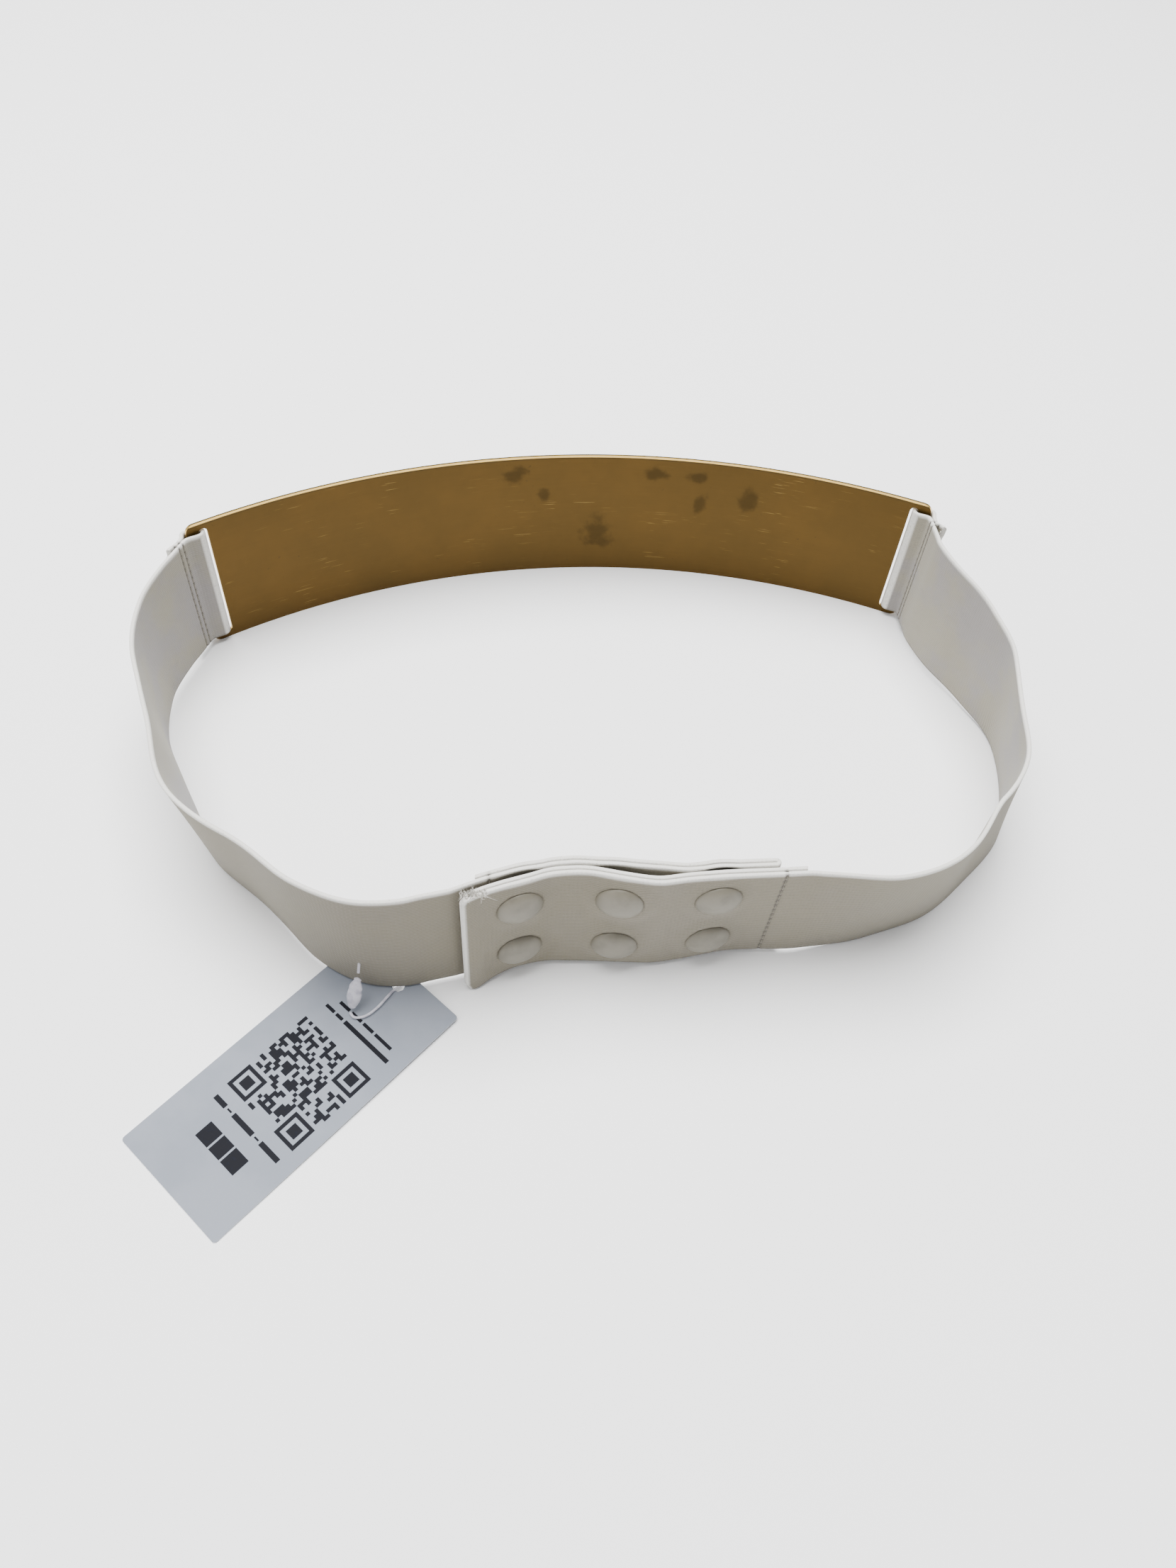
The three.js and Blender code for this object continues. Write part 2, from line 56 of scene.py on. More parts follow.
# The belt's own sizes, in millimetres, as the model has them.
belt = dict(
    plateLength=260, plateHeight=51, plateThickness=1.2, plateRadius=255, plateCorner=3,
    slotWidth=3, slotEndWall=2.3, endBar=4,
    strapWidth=45, strapThickness=1.3, layerGap=0.1, loopSlack=0.7, loopReach=1.7, loopShoulder=1.5,
    loopTail=6, loopRoot=8, loopBottom=3, closureInnerY=-132.2, closureLift=1.8, tabGap=2.6,
)
halfAngle = belt["plateLength"] / belt["plateRadius"] / 2
chordY = -belt["plateRadius"] * math.cos(halfAngle)
plateLow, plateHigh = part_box("curved_plate")
# Routes are worked out from the middle of the plate's chord, and shifted into the frame at the end.
shift = np.array([
    (plateLow.x + plateHigh.x) / 2 / mm,
    plateHigh.y / mm - (chordY + belt["plateRadius"] + belt["plateThickness"] / 2),
    0.0,
])


# ---- camera ----
def makeCamera():
    spot = dict(
        place=(-0.041884, -0.250055, 0.305653),
        right=(0.99317257, -0.10486102, 0.05111185),
        up=(0.05215324, 0.79105449, 0.60951852),
        forward=(0.10434699, 0.60269143, -0.79112246),
        lens=27.065,
    )
    data = bpy.data.cameras.new("camera")
    data.lens = spot["lens"]
    data.sensor_width = 36
    data.clip_start = 0.01
    camera = bpy.data.objects.new("camera", data)
    bpy.context.scene.collection.objects.link(camera)
    turn = Matrix([spot["right"], spot["up"], [-x for x in spot["forward"]]]).transposed()
    camera.matrix_world = Matrix.Translation(spot["place"]) @ turn.to_4x4()
    bpy.context.scene.camera = camera


makeCamera()
print("camera set")


# ---- numbers ----
def smooth(x, low, high):  # 0 below low, 1 above high, an S in between
    t = np.clip((np.asarray(x, float) - low) / (high - low), 0, 1)
    return t * t * (3 - 2 * t)


def through(x, places, values):
    # Goes through the values: a cubic between each two places, whose end slopes are the mean
    # slopes on either side of them. It runs on level past the last place at each end.
    places, values = np.array(places, float), np.array(values, float)
    slopes = np.gradient(values, places)
    x = np.clip(x, places[0], places[-1])
    i = np.clip(np.searchsorted(places, x) - 1, 0, len(places) - 2)
    wide = places[i + 1] - places[i]
    t = (x - places[i]) / wide
    rise = t * t * (3 - 2 * t)
    return (values[i] + (values[i + 1] - values[i]) * rise + slopes[i] * wide * t * (1 - t) ** 2
            - slopes[i + 1] * wide * t * t * (1 - t))


def hump(u, middle, width):  # 1 at the middle, 0 at middle - width and middle + width
    x = np.minimum(np.abs(u - middle) / width, 1)
    return (1 - x * x) ** 2


def measured(line):  # distance along a line of points
    return np.concatenate([[0], np.cumsum(np.linalg.norm(np.diff(line, axis=0), axis=1))])


def evenly(line, step):  # the same line with points a step apart
    s = measured(line)
    at = np.linspace(0, s[-1], max(2, int(round(s[-1] / step)) + 1))
    return np.stack([np.interp(at, s, line[:, k]) for k in range(line.shape[1])], axis=1)


def throughPoints(points, perSpan=24):
    # Centripetal Catmull-Rom: each span is a cubic whose end slopes come from its neighbours,
    # weighted by the square roots of the distances between the points.
    p = np.array(points, float)
    p = np.vstack([2 * p[0] - p[1], p, 2 * p[-1] - p[-2]])
    step = np.linalg.norm(np.diff(p, axis=0), axis=1) ** 0.5
    d0, d1, d2 = (step[k:len(step) - 2 + k, None] for k in range(3))
    p0, p1, p2, p3 = (p[k:len(p) - 3 + k] for k in range(4))
    m1 = d1 * ((p1 - p0) / d0 - (p2 - p0) / (d0 + d1) + (p2 - p1) / d1)
    m2 = d1 * ((p2 - p1) / d1 - (p3 - p1) / (d1 + d2) + (p3 - p2) / d2)
    t = np.linspace(0, 1, perSpan, endpoint=False)[None, :, None]
    a, b, c, d = (x[:, None] for x in (p1, m1, -3 * p1 + 3 * p2 - 2 * m1 - m2, 2 * p1 - 2 * p2 + m1 + m2))
    line = a + b * t + c * t ** 2 + d * t ** 3
    return np.vstack([line.reshape(-1, p.shape[1]), p[-2]])


def bezier(a, b, c, d, count=24):  # cubic from a to d, pulled towards b and c
    t = np.linspace(0, 1, count)[:, None]
    a, b, c, d = (np.array(x, float) for x in (a, b, c, d))
    return a * (1 - t) ** 3 + 3 * b * t * (1 - t) ** 2 + 3 * c * t * t * (1 - t) + d * t ** 3


# ---- meshes ----
def makePiece(name, points, faces, uv=None, angle=50, merge=False):
    # Points in millimetres from the plate's chord; faces that point inwards are turned round.
    mesh = bpy.data.meshes.new(name)
    mesh.from_pydata(((np.asarray(points, float) + shift) * mm).tolist(), [], [list(f) for f in faces])
    if merge:
        work = bmesh.new()
        work.from_mesh(mesh)
        bmesh.ops.remove_doubles(work, verts=work.verts, dist=2e-6)
        bmesh.ops.dissolve_degenerate(work, edges=work.edges, dist=1e-7)
        work.to_mesh(mesh)
        work.free()
    work = bmesh.new()
    work.from_mesh(mesh)
    if work.calc_volume(signed=True) < 0:
        bmesh.ops.reverse_faces(work, faces=work.faces)
        work.to_mesh(mesh)
    work.free()
    if uv is not None:
        layer = mesh.uv_layers.new(name="strap")
        corner = np.empty(len(mesh.loops), np.int64)
        mesh.loops.foreach_get("vertex_index", corner)
        layer.data.foreach_set("uv", np.asarray(uv, np.float32)[corner].ravel())
    mesh.shade_smooth()
    mesh.set_sharp_from_angle(angle=math.radians(angle))
    piece = bpy.data.objects.new(name, mesh)
    bpy.context.scene.collection.objects.link(piece)
    return piece


def gridFaces(rows, columns, closed=True):  # quads between neighbouring rows, round or side by side
    last = columns if closed else columns - 1
    i, j = np.meshgrid(np.arange(rows - 1), np.arange(last), indexing="ij")
    k = (j + 1) % columns
    corners = [i * columns + j, i * columns + k, (i + 1) * columns + k, (i + 1) * columns + j]
    return np.stack(corners, -1).reshape(-1, 4)


def tubes(lines, radius, sides=8):
    # Each line becomes a closed tube: a ring of points at right angles to it at each of its points.
    lines = np.asarray(lines, float)
    count, steps = lines.shape[:2]
    along = np.gradient(lines, axis=1)
    along /= np.linalg.norm(along, axis=2, keepdims=True)
    guide = np.where(np.abs(along[..., 2:3]) > 0.8, [1.0, 0.0, 0.0], [0.0, 0.0, 1.0])
    side = np.cross(along, guide)
    side /= np.linalg.norm(side, axis=2, keepdims=True)
    other = np.cross(along, side)
    turn = np.linspace(0, tau, sides, endpoint=False)
    size = np.broadcast_to(np.asarray(radius, float), (count, steps))[..., None, None]
    ring = side[:, :, None] * np.cos(turn)[:, None] + other[:, :, None] * np.sin(turn)[:, None]
    points = (lines[:, :, None] + ring * size).reshape(-1, 3)
    one = gridFaces(steps, sides)
    faces = [list(f) for f in (one[None] + (np.arange(count) * steps * sides)[:, None, None]).reshape(-1, 4)]
    for k in range(count):
        first = k * steps * sides
        last = first + (steps - 1) * sides
        faces.append(list(range(first, first + sides)))
        faces.append(list(range(last, last + sides))[::-1])
    return points, faces


def turned(name, profile, place, seat, lean, segments=72, angle=35):
    # Profile points (radius, depth) swung round the press stud's own line. Depth runs outwards, to
    # -Y, and the whole turns about the seat's depth to lie on cloth that is moved and sloped by lean.
    profile = np.array(profile, float)
    move, slopeX, slopeZ = lean
    out = np.array([slopeX, -1.0, slopeZ]) / math.sqrt(1 + slopeX ** 2 + slopeZ ** 2)
    side = np.array([1.0, slopeX, 0]) / math.hypot(1, slopeX)
    up = np.cross(out, side)
    rounds = np.linspace(0, tau, segments, endpoint=False)
    centre = np.array([place[0], belt["closureInnerY"] - seat + move, place[1]])
    points = (centre + profile[:, :1, None] * (np.cos(rounds)[:, None] * side + np.sin(rounds)[:, None] * up)
              + (profile[:, 1:, None] - seat) * out)
    return makePiece(name, points.reshape(-1, 3), gridFaces(len(profile), segments), angle=angle, merge=True)


# ---- materials ----
class Term:
    # A socket that can stand in a sum: each sign between two of them adds a Math node.
    def __init__(self, finish, socket):
        self.finish = finish
        self.socket = socket

    def join(self, kind, a, b=None):
        return self.finish.add("ShaderNodeMath", {"operation": kind}, {0: a, 1: b})

    def __add__(self, other):
        return self.join("ADD", self, other)

    def __radd__(self, other):
        return self.join("ADD", other, self)

    def __sub__(self, other):
        return self.join("SUBTRACT", self, other)

    def __rsub__(self, other):
        return self.join("SUBTRACT", other, self)

    def __mul__(self, other):
        return self.join("MULTIPLY", self, other)

    def __rmul__(self, other):
        return self.join("MULTIPLY", other, self)

    def __pow__(self, other):
        return self.join("POWER", self, other)

    def wave(self):
        return self.join("SINE", self)

    def size(self):
        return self.join("ABSOLUTE", self)

    def most(self, other):
        return self.join("MAXIMUM", self, other)


class Finish:
    # A material whose nodes are all added in one way: settings first, then values or links.
    def __init__(self, name):
        self.material = bpy.data.materials.new(name)
        self.material.use_nodes = True
        self.tree = self.material.node_tree
        self.shader = self.tree.nodes["Principled BSDF"]

    def add(self, kind, settings=None, inputs=None, out=0):
        node = self.tree.nodes.new(kind)
        for key, value in (settings or {}).items():
            setattr(node, key, value)
        for key, value in (inputs or {}).items():
            self.put(node.inputs[key], value)
        return Term(self, node.outputs[out])

    def put(self, socket, value):
        if isinstance(value, Term):
            self.tree.links.new(value.socket, socket)
        elif value is not None:
            socket.default_value = value

    def surface(self, **values):
        for key, value in values.items():
            self.put(self.shader.inputs[key.replace("_", " ")], value)
        return self.material

    def place(self):
        return self.add("ShaderNodeTexCoord", out=3)

    def mark(self, name):  # a number kept at each point of the mesh
        return self.add("ShaderNodeAttribute", {"attribute_name": name}, out=2)

    def parts(self, vector):
        node = self.tree.nodes.new("ShaderNodeSeparateXYZ")
        self.put(node.inputs[0], vector)
        return [Term(self, node.outputs[k]) for k in range(3)]

    def stretched(self, vector, amounts):
        return self.add("ShaderNodeVectorMath", {"operation": "MULTIPLY"}, {0: vector, 1: amounts})

    def noise(self, vector, scale, detail=3.0, roughness=0.55):
        inputs = {"Vector": vector, "Scale": scale, "Detail": detail, "Roughness": roughness}
        return self.add("ShaderNodeTexNoise", {}, inputs)

    def step(self, value, low, high):
        inputs = {"Value": value, "From Min": low, "From Max": high}
        return self.add("ShaderNodeMapRange", {"interpolation_type": "SMOOTHSTEP"}, inputs)

    def mix(self, amount, a, b):
        return self.add("ShaderNodeMix", {"data_type": "RGBA"}, {0: amount, 6: a, 7: b}, 2)

    def bump(self, height, distance, strength=1.0):
        return self.add("ShaderNodeBump", {}, {"Height": height, "Distance": distance, "Strength": strength})


def tint(red, green, blue):  # a screen colour as light
    return tuple((c / 255 / 12.92 if c < 11 else ((c / 255 + 0.055) / 1.055) ** 2.4) for c in (red, green, blue)) + (1.0,)


def elasticFinish():
    # worn is the pale of rubbed cloth and also the painted highlight along the top edge; outer is painted shade for the
    # face turned away from the waist; the crease colour is painted shade in creases, needle rows and along the lower
    # edge.
    look = dict(warm=tint(139, 134, 119), cool=tint(134, 130, 127), worn=tint(226, 224, 218), groove=tint(96, 90, 77),
                creaseShade=tint(62, 54, 42), outer=tint(114, 107, 88), rib=0.00075, pick=0.0011, depth=0.00010)
    f = Finish("elasticWeave")
    along, up, _ = f.parts(f.add("ShaderNodeUVMap", {"uv_map": "strap"}))
    place = f.place()
    wobble = f.noise(place, 260, 2.0)
    rib = ((up + wobble * 0.0004) * (tau / look["rib"])).wave()
    pick = (along * (tau / look["pick"]) + rib * 0.6 + wobble * 5.0).wave()
    fibre = f.noise(f.stretched(place, (1500, 1500, 3200)), 1.0, 2.0)
    mottle = f.step(f.noise(place, 34, 4.0, 0.6), 0.40, 0.60)
    smudge = f.step(f.noise(place, 110, 3.0, 0.6), 0.58, 0.80)
    speck = f.step(f.noise(place, 2300, 2.0), 0.60, 0.76)
    # A painted highlight along the strap's top edge, where the light from above falls.
    edge = f.step(up, 0.0434, 0.0448)
    # Painted shade along the strap's lower edge, where it stands on the floor.
    lowerEdgeShade = f.step(up, 0.0011, 0.0003)
    worn, creaseShade, paintedShadeSide = f.mark("worn"), f.mark("creaseShade"), f.mark("paintedShadeSide")
    needle = f.step((up * (tau / 0.0027)).wave(), -0.5, 0.3)
    weave = rib * 0.45 + pick * 0.30 + fibre * 0.9
    colour = f.mix(mottle, look["warm"], look["cool"])
    # Painted shade: the face turned away from the waist is darkened towards the outer colour.
    colour = f.mix(paintedShadeSide * 0.85, colour, look["outer"])
    colour = f.mix(f.step(weave, 0.35, -0.65) * 0.26 + smudge * 0.12, colour, look["groove"])
    # The painted top-edge highlight and the rubbed places both take the pale worn colour.
    colour = f.mix(edge.most(worn) * (1 - speck * 0.45) * 0.85, colour, look["worn"])
    # Painted shade: dark in the creases and needle rows, and along the strap's lower edge.
    colour = f.mix((creaseShade * (0.3 + needle * 0.65)).most(lowerEdgeShade * 0.6), colour, look["creaseShade"])
    return f.surface(Base_Color=colour, Roughness=0.86 + fibre * 0.08, Sheen_Weight=0.18, Sheen_Roughness=0.6,
                     Normal=f.bump(weave + speck * worn * 2.0, look["depth"], 0.75))


def threadFinish():
    look = dict(light=tint(136, 130, 116), dark=tint(72, 66, 55))
    f = Finish("sewingThread")
    x, y, z = f.parts(f.place())
    twist = ((z * 1.6 + x + y) * (tau / 0.0006)).wave()
    worn = f.step(f.noise(f.place(), 900), 0.4, 0.7)
    colour = f.mix(f.step(twist, 1.0, -1.0) * 0.5 + worn * 0.2, look["light"], look["dark"])
    return f.surface(Base_Color=colour, Roughness=0.75, Sheen_Weight=0.2, Normal=f.bump(twist, 0.00003, 0.8))


def brassFinish():
    # The tarnish colour serves the stains and the rim's tarnish, and is also painted shade on the lip.
    look = dict(dull=tint(79, 59, 20), warm=tint(85, 63, 22), tarnishAndShade=tint(50, 40, 18),
                gold=tint(226, 190, 112), polish=tint(168, 126, 52),
                radius=belt["plateRadius"] * mm, thickness=belt["plateThickness"] * mm, height=belt["plateHeight"] * mm)
    f = Finish("agedBrass")
    place = f.place()
    x, y, z = f.parts(place)
    fromX = x - float(shift[0] * mm)
    fromY = y - float((chordY + shift[1]) * mm)
    out = (fromX ** 2.0 + fromY ** 2.0) ** 0.5 - look["radius"]  # across the sheet, minus is inside
    inner = f.step(out, -0.18 * look["thickness"], -0.42 * look["thickness"])
    brushed = f.noise(f.stretched(place, (60, 60, 2400)), 1.0, 3.0)
    cloud = f.step(f.noise(place, 26, 4.0, 0.62), 0.35, 0.7)
    # The dark spots: middle along the chord, height, half width, half height.
    spots = [(0.0142, 0.0170, 0.0062, 0.0075), (-0.0162, 0.0435, 0.0042, 0.0040), (0.0505, 0.0330, 0.0025, 0.0050),
             (0.0330, 0.0440, 0.0050, 0.0030), (0.0670, 0.0370, 0.0035, 0.0060), (-0.0060, 0.0350, 0.0022, 0.0030),
             (0.0480, 0.0440, 0.0045, 0.0022)]
    ragged = f.noise(place, 210, 4.0, 0.65)
    stain = None
    for sx, sz, wide, high in spots:
        away = ((fromX - sx) * (1 / wide)) ** 2.0 + ((z - sz) * (1 / high)) ** 2.0
        spot = f.step(away ** 0.5 + (ragged - 0.5) * 2.2, 1.15, 0.35)
        stain = spot if stain is None else stain.most(spot)
    freckle = f.step(f.noise(place, 620, 2.0), 0.69, 0.76) * f.step(f.noise(place, 60), 0.45, 0.62)
    hair = f.noise(f.stretched(place, (90, 90, 5200)), 1.0, 1.0)
    scratch = f.step(hair, 0.70, 0.75) * f.step(f.noise(place, 45, 2.0), 0.5, 0.66)
    # The top edge is worn bright. Tarnish darkens the inner face just below it; painted shade darkens the lip behind
    # it.
    bright = f.step(z, look["height"] - 0.00052, look["height"] - 0.00030)
    rim = f.step(z, look["height"] - 0.00125, look["height"] - 0.00062) * inner
    colour = f.mix(cloud, look["dull"], look["warm"])
    colour = f.mix(stain * 0.34 + freckle * 0.4, colour, look["tarnishAndShade"])
    colour = f.mix(scratch * 0.35, colour, look["gold"])
    colour = f.mix(rim * 0.55, colour, look["tarnishAndShade"])
    colour = f.mix((inner * (1 - bright)), look["gold"], colour)
    back = f.step(out, 0.22 * look["thickness"], 0.44 * look["thickness"])
    colour = f.mix(back * (1 - cloud * 0.12), colour, look["polish"])
    # Painted shade on the lip behind the bright top edge, in the tarnish colour.
    lip = (f.step(z, look["height"] - 0.0004, look["height"] - 0.0002)
           * f.step(out, -0.02 * look["thickness"], 0.16 * look["thickness"]))
    colour = f.mix(lip * 0.9, colour, look["tarnishAndShade"])
    rough = 0.24 + inner * (0.24 + brushed * 0.10 + stain * 0.14)
    return f.surface(Base_Color=colour, Metallic=0.82, Roughness=rough,
                     Normal=f.bump(brushed * inner - scratch * 0.6, 0.00002, 0.5))


def enamelFinish():
    look = dict(light=tint(114, 109, 95), dark=tint(93, 88, 75))
    f = Finish("capEnamel")
    place = f.place()
    cloud = f.noise(place, 160, 3.0)
    scuff = f.step(f.noise(f.stretched(place, (900, 900, 5200)), 1.0, 2.0), 0.70, 0.78)
    colour = f.mix(f.step(cloud, 0.42, 0.7) * 0.5 + scuff * 0.6, look["light"], look["dark"])
    return f.surface(Base_Color=colour, Roughness=0.42 + cloud * 0.16, Coat_Weight=0.12, Coat_Roughness=0.35,
                     Normal=f.bump(f.noise(place, 1400, 2.0) - scuff * 0.5, 0.00003, 0.4))


def nickelFinish():
    look = dict(light=tint(190, 187, 180), dark=tint(120, 116, 108))
    f = Finish("snapNickel")
    place = f.place()
    worn = f.step(f.noise(place, 700, 3.0), 0.45, 0.7)
    return f.surface(Base_Color=f.mix(worn * 0.6, look["light"], look["dark"]), Metallic=0.95,
                     Roughness=0.26 + worn * 0.2, Normal=f.bump(f.noise(place, 3000), 0.00001, 0.4))


def boardFinish():
    look = dict(face=tint(130, 135, 144), shade=tint(120, 126, 136), edge=tint(176, 179, 185))
    f = Finish("tagBoard")
    place = f.place()
    grain = f.noise(place, 1300, 3.0)
    cloud = f.step(f.noise(place, 50, 3.0), 0.4, 0.65)
    turned = f.parts(f.add("ShaderNodeNewGeometry", out=1))[2].size()
    face = f.mix(cloud * 0.7 + grain * 0.2, look["face"], look["shade"])
    colour = f.mix(f.step(turned, 0.6, 0.2), face, look["edge"])
    return f.surface(Base_Color=colour, Roughness=0.58 + grain * 0.12, Specular_IOR_Level=0.25,
                     Normal=f.bump(grain, 0.00002, 0.3))


def inkFinish():
    look = dict(dark=tint(13, 14, 21), light=tint(25, 27, 37))
    f = Finish("tagInk")
    worn = f.step(f.noise(f.place(), 900, 3.0), 0.5, 0.8)
    return f.surface(Base_Color=f.mix(worn * 0.6, look["dark"], look["light"]), Roughness=0.6 + worn * 0.1,
                     Specular_IOR_Level=0.1)


def fluffFinish():
    look = dict(light=tint(206, 203, 196), dark=tint(158, 153, 142))
    f = Finish("looseYarn")
    mottle = f.step(f.noise(f.place(), 1200), 0.4, 0.65)
    return f.surface(Base_Color=f.mix(mottle, look["light"], look["dark"]), Roughness=0.85)


def nylonFinish():
    look = dict(light=tint(214, 212, 220), dark=tint(184, 180, 192))
    f = Finish("clearNylon")
    cloud = f.step(f.noise(f.place(), 500, 2.0), 0.35, 0.7)
    return f.surface(Base_Color=f.mix(cloud, look["light"], look["dark"]), Roughness=0.28 + cloud * 0.1, Alpha=0.55,
                     IOR=1.5, Normal=f.bump(cloud, 0.00004, 0.4))


elastic, thread, brass, enamel = elasticFinish(), threadFinish(), brassFinish(), enamelFinish()
nickel, board, ink, nylon, fluff = nickelFinish(), boardFinish(), inkFinish(), nylonFinish(), fluffFinish()
print("finishes made")


def dress(piece, material):
    piece.data.materials.clear()
    piece.data.materials.append(material)
    return piece


# ---- swing tag's nylon loop, a cord ----
def makeCord():
    loop = dict(diameter=0.8, points=[
        [-74.7, -150, 2.35], [-73.6, -151.4, 1.95], [-70.6, -151.3, 1.95], [-67.2, -149, 2.1],
        [-64.6, -146.2, 2.3], [-63, -144.2, 1.9], [-61.5, -142.5, 1.1], [-60, -141, 0.5],
        [-57.8, -139, 0.45], [-55.8, -137.3, 0.75], [-54.7, -136, 2.1], [-54.9, -134.9, 4.6],
        [-57.2, -134.6, 8], [-61.5, -135, 11.4], [-66.2, -135.8, 13.4], [-69.6, -137.4, 14.2],
        [-70.8, -139.6, 14.3], [-71.2, -142, 13.8], [-71.4, -143.7, 12.9]])
    line = evenly(throughPoints(loop["points"]), 0.5)
    points, faces = tubes([line], loop["diameter"] / 2, 12)
    piece = dress(makePiece("tagLoop", points, faces), nylon)
    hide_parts("tag_loop")
    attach(piece, "rear")
    path = (line + shift) * mm
    return piece, path, float(measured(path)[-1]), loop["diameter"] * mm


def makeLock():
    # A flattened body that swells and narrows along its length, with a slot ridge round its waist.
    lock = dict(top=(-71.6, -144.4, 11.8), bottom=(-74.3, -149.3, 3.1), wide=2.1, thick=1.3)
    top, bottom = np.array(lock["top"]), np.array(lock["bottom"])
    axis = top - bottom
    length = np.linalg.norm(axis)
    axis = axis / length
    side = np.cross(axis, [0, 0, 1.0])
    side /= np.linalg.norm(side)
    front = np.cross(axis, side)
    t = np.linspace(0, 1, 40)
    swell = through(t, [0, 0.05, 0.16, 0.3, 0.52, 0.6, 0.68, 0.9, 0.97, 1],
                    [0.02, 0.42, 0.7, 0.96, 1.0, 0.9, 0.94, 0.5, 0.4, 0.02])
    rounds = np.linspace(0, tau, 28, endpoint=False)
    points = (bottom + axis * (t * length)[:, None, None]
              + side * (np.cos(rounds) * swell[:, None] * lock["wide"])[..., None]
              + front * (np.sin(rounds) * swell[:, None] * lock["thick"])[..., None])
    ends = [list(range(28)), list(range(39 * 28, 40 * 28))[::-1]]
    piece = makePiece("tagLock", points.reshape(-1, 3), list(gridFaces(40, 28)) + ends)
    dress(piece, nylon)
    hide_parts("tag_lock")
    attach(piece, "rear")
    return piece


cordPiece, cordPath, cordLength, cordDiameter = makeCord()
lockPiece = makeLock()
print("nylon loop laid,", round(cordLength * 1000, 1), "mm")


# ---- straps ----
def strapSection(facePoints=24, cornerPoints=4, corner=0.5):
    # Round the strap's section: up one face, over the top edge, down the other, under the lower edge.
    width, half = belt["strapWidth"], belt["strapThickness"] / 2
    face = np.stack([np.full(facePoints, half), np.linspace(corner, width - corner, facePoints)], 1)
    turn = np.linspace(0, math.pi / 2, cornerPoints + 1)[1:]
    over = np.stack([half - corner + corner * np.cos(turn), width - corner + corner * np.sin(turn)], 1)
    under = np.stack([over[::-1, 0], width - over[::-1, 1]], 1)
    up = np.vstack([under, face, over])
    down = np.stack([-up[::-1, 0], up[::-1, 1]], 1)
    return np.vstack([up, down])


section = strapSection()


def sweep(name, centre, lean, lower, thick=None, push=None, along=None, ragged=(0, 0),
          worn=(), creaseShade=(), paintedShadeSide=1):
    # The section carried along a line seen from above. The strap leans about its lower edge, its
    # thickness is scaled by thick, and push moves each point across the strap by its own amount.
    # worn lists places along it that are rubbed pale; the next list gives places darkened with painted shade. Each
    # place has its half width.
    # The last argument is the side, 1 or -1, of the face turned away from the waist, which gets painted shade.
    centre = np.asarray(centre, float)
    count, around = len(centre), len(section)
    tangent = np.gradient(centre, axis=0)
    tangent /= np.linalg.norm(tangent, axis=1, keepdims=True)
    hand = np.stack([-tangent[:, 1], tangent[:, 0], np.zeros(count)], 1)
    lean = np.broadcast_to(np.asarray(lean, float), count)
    up = np.array([0, 0, 1.0]) * np.cos(lean)[:, None] + hand * np.sin(lean)[:, None]
    out = hand * np.cos(lean)[:, None] - np.array([0, 0, 1.0]) * np.sin(lean)[:, None]
    rest = np.broadcast_to(lower, count) + belt["strapThickness"] / 2 * np.abs(np.sin(lean))
    base = np.column_stack([centre, rest])
    thick = np.ones(count) if thick is None else thick
    points = (base[:, None] + out[:, None] * (section[:, 0] * thick[:, None])[..., None]
              + up[:, None] * section[None, :, 1, None])
    s = measured(centre) if along is None else along
    if push is not None:
        points = points + push(points, s)
    # A raw end is ragged: its last points stand back by uneven amounts.
    rough = np.random.default_rng(len(name))
    for end, amount in zip((0, -1), ragged):
        if amount:
            jag = np.repeat(rough.uniform(-1, 1, (around + 1) // 2), 2)[:around] * amount
            points[end] += np.append(tangent[end], 0) * jag[:, None]
    half = around // 2
    j = np.arange(half - 1)
    cap = np.stack([j, j + 1, around - 2 - j, around - 1 - j], 1)
    faces = [list(f) for f in gridFaces(count, around)]
    faces += [list(f) for f in cap[:, ::-1]] + [list(f) for f in cap + (count - 1) * around]
    uv = np.stack(np.broadcast_arrays(s[:, None] * mm, section[None, :, 1] * mm), -1).reshape(-1, 2)
    piece = dress(makePiece(name, points.reshape(-1, 3), faces, uv=uv), elastic)
    for mark, places in (("worn", worn), ("creaseShade", creaseShade)):
        amount = np.zeros(count)
        for middle, half in places:
            amount = np.maximum(amount, 1 - smooth(np.abs(s - middle), half * 0.6, half))
        attribute = piece.data.attributes.new(mark, "FLOAT", "POINT")
        attribute.data.foreach_set("value", np.repeat(amount, around).astype(np.float32))
    # Painted shade mark: rising to 1 on the face turned away from the waist, 0 on the other face.
    outer = piece.data.attributes.new("paintedShadeSide", "FLOAT", "POINT")
    across = np.clip(paintedShadeSide * section[:, 0] / (belt["strapThickness"] / 2), 0, 1)
    outer.data.foreach_set("value", np.tile(across, count).astype(np.float32))
    return piece


doubled = 2 * belt["strapThickness"] + belt["layerGap"]
layer = (belt["strapThickness"] + belt["layerGap"]) / 2
underMainY = belt["closureInnerY"] - 1.5 * belt["strapThickness"] - belt["layerGap"]
underTailY = belt["closureInnerY"] - belt["strapThickness"] / 2
outerInnerY = belt["closureInnerY"] - doubled - belt["tabGap"]
outerTailY = outerInnerY - belt["strapThickness"] / 2
outerMainY = outerInnerY - 1.5 * belt["strapThickness"] - belt["layerGap"]
tab = dict(underRoot=-45, underEnd=43.5, underTail=-38, underSeam=-34.5, underFree=-43.5,
           outerRoot=50.0, outerEnd=-42.5, outerSeam=44.4, hingeEnd=38.0,
           snapMiddle=0.3, snapPitch=26.9, snapRise=11.25)
halfStrap = belt["strapWidth"] / 2
snapX = [tab["snapMiddle"] - tab["snapPitch"], tab["snapMiddle"], tab["snapMiddle"] + tab["snapPitch"]]
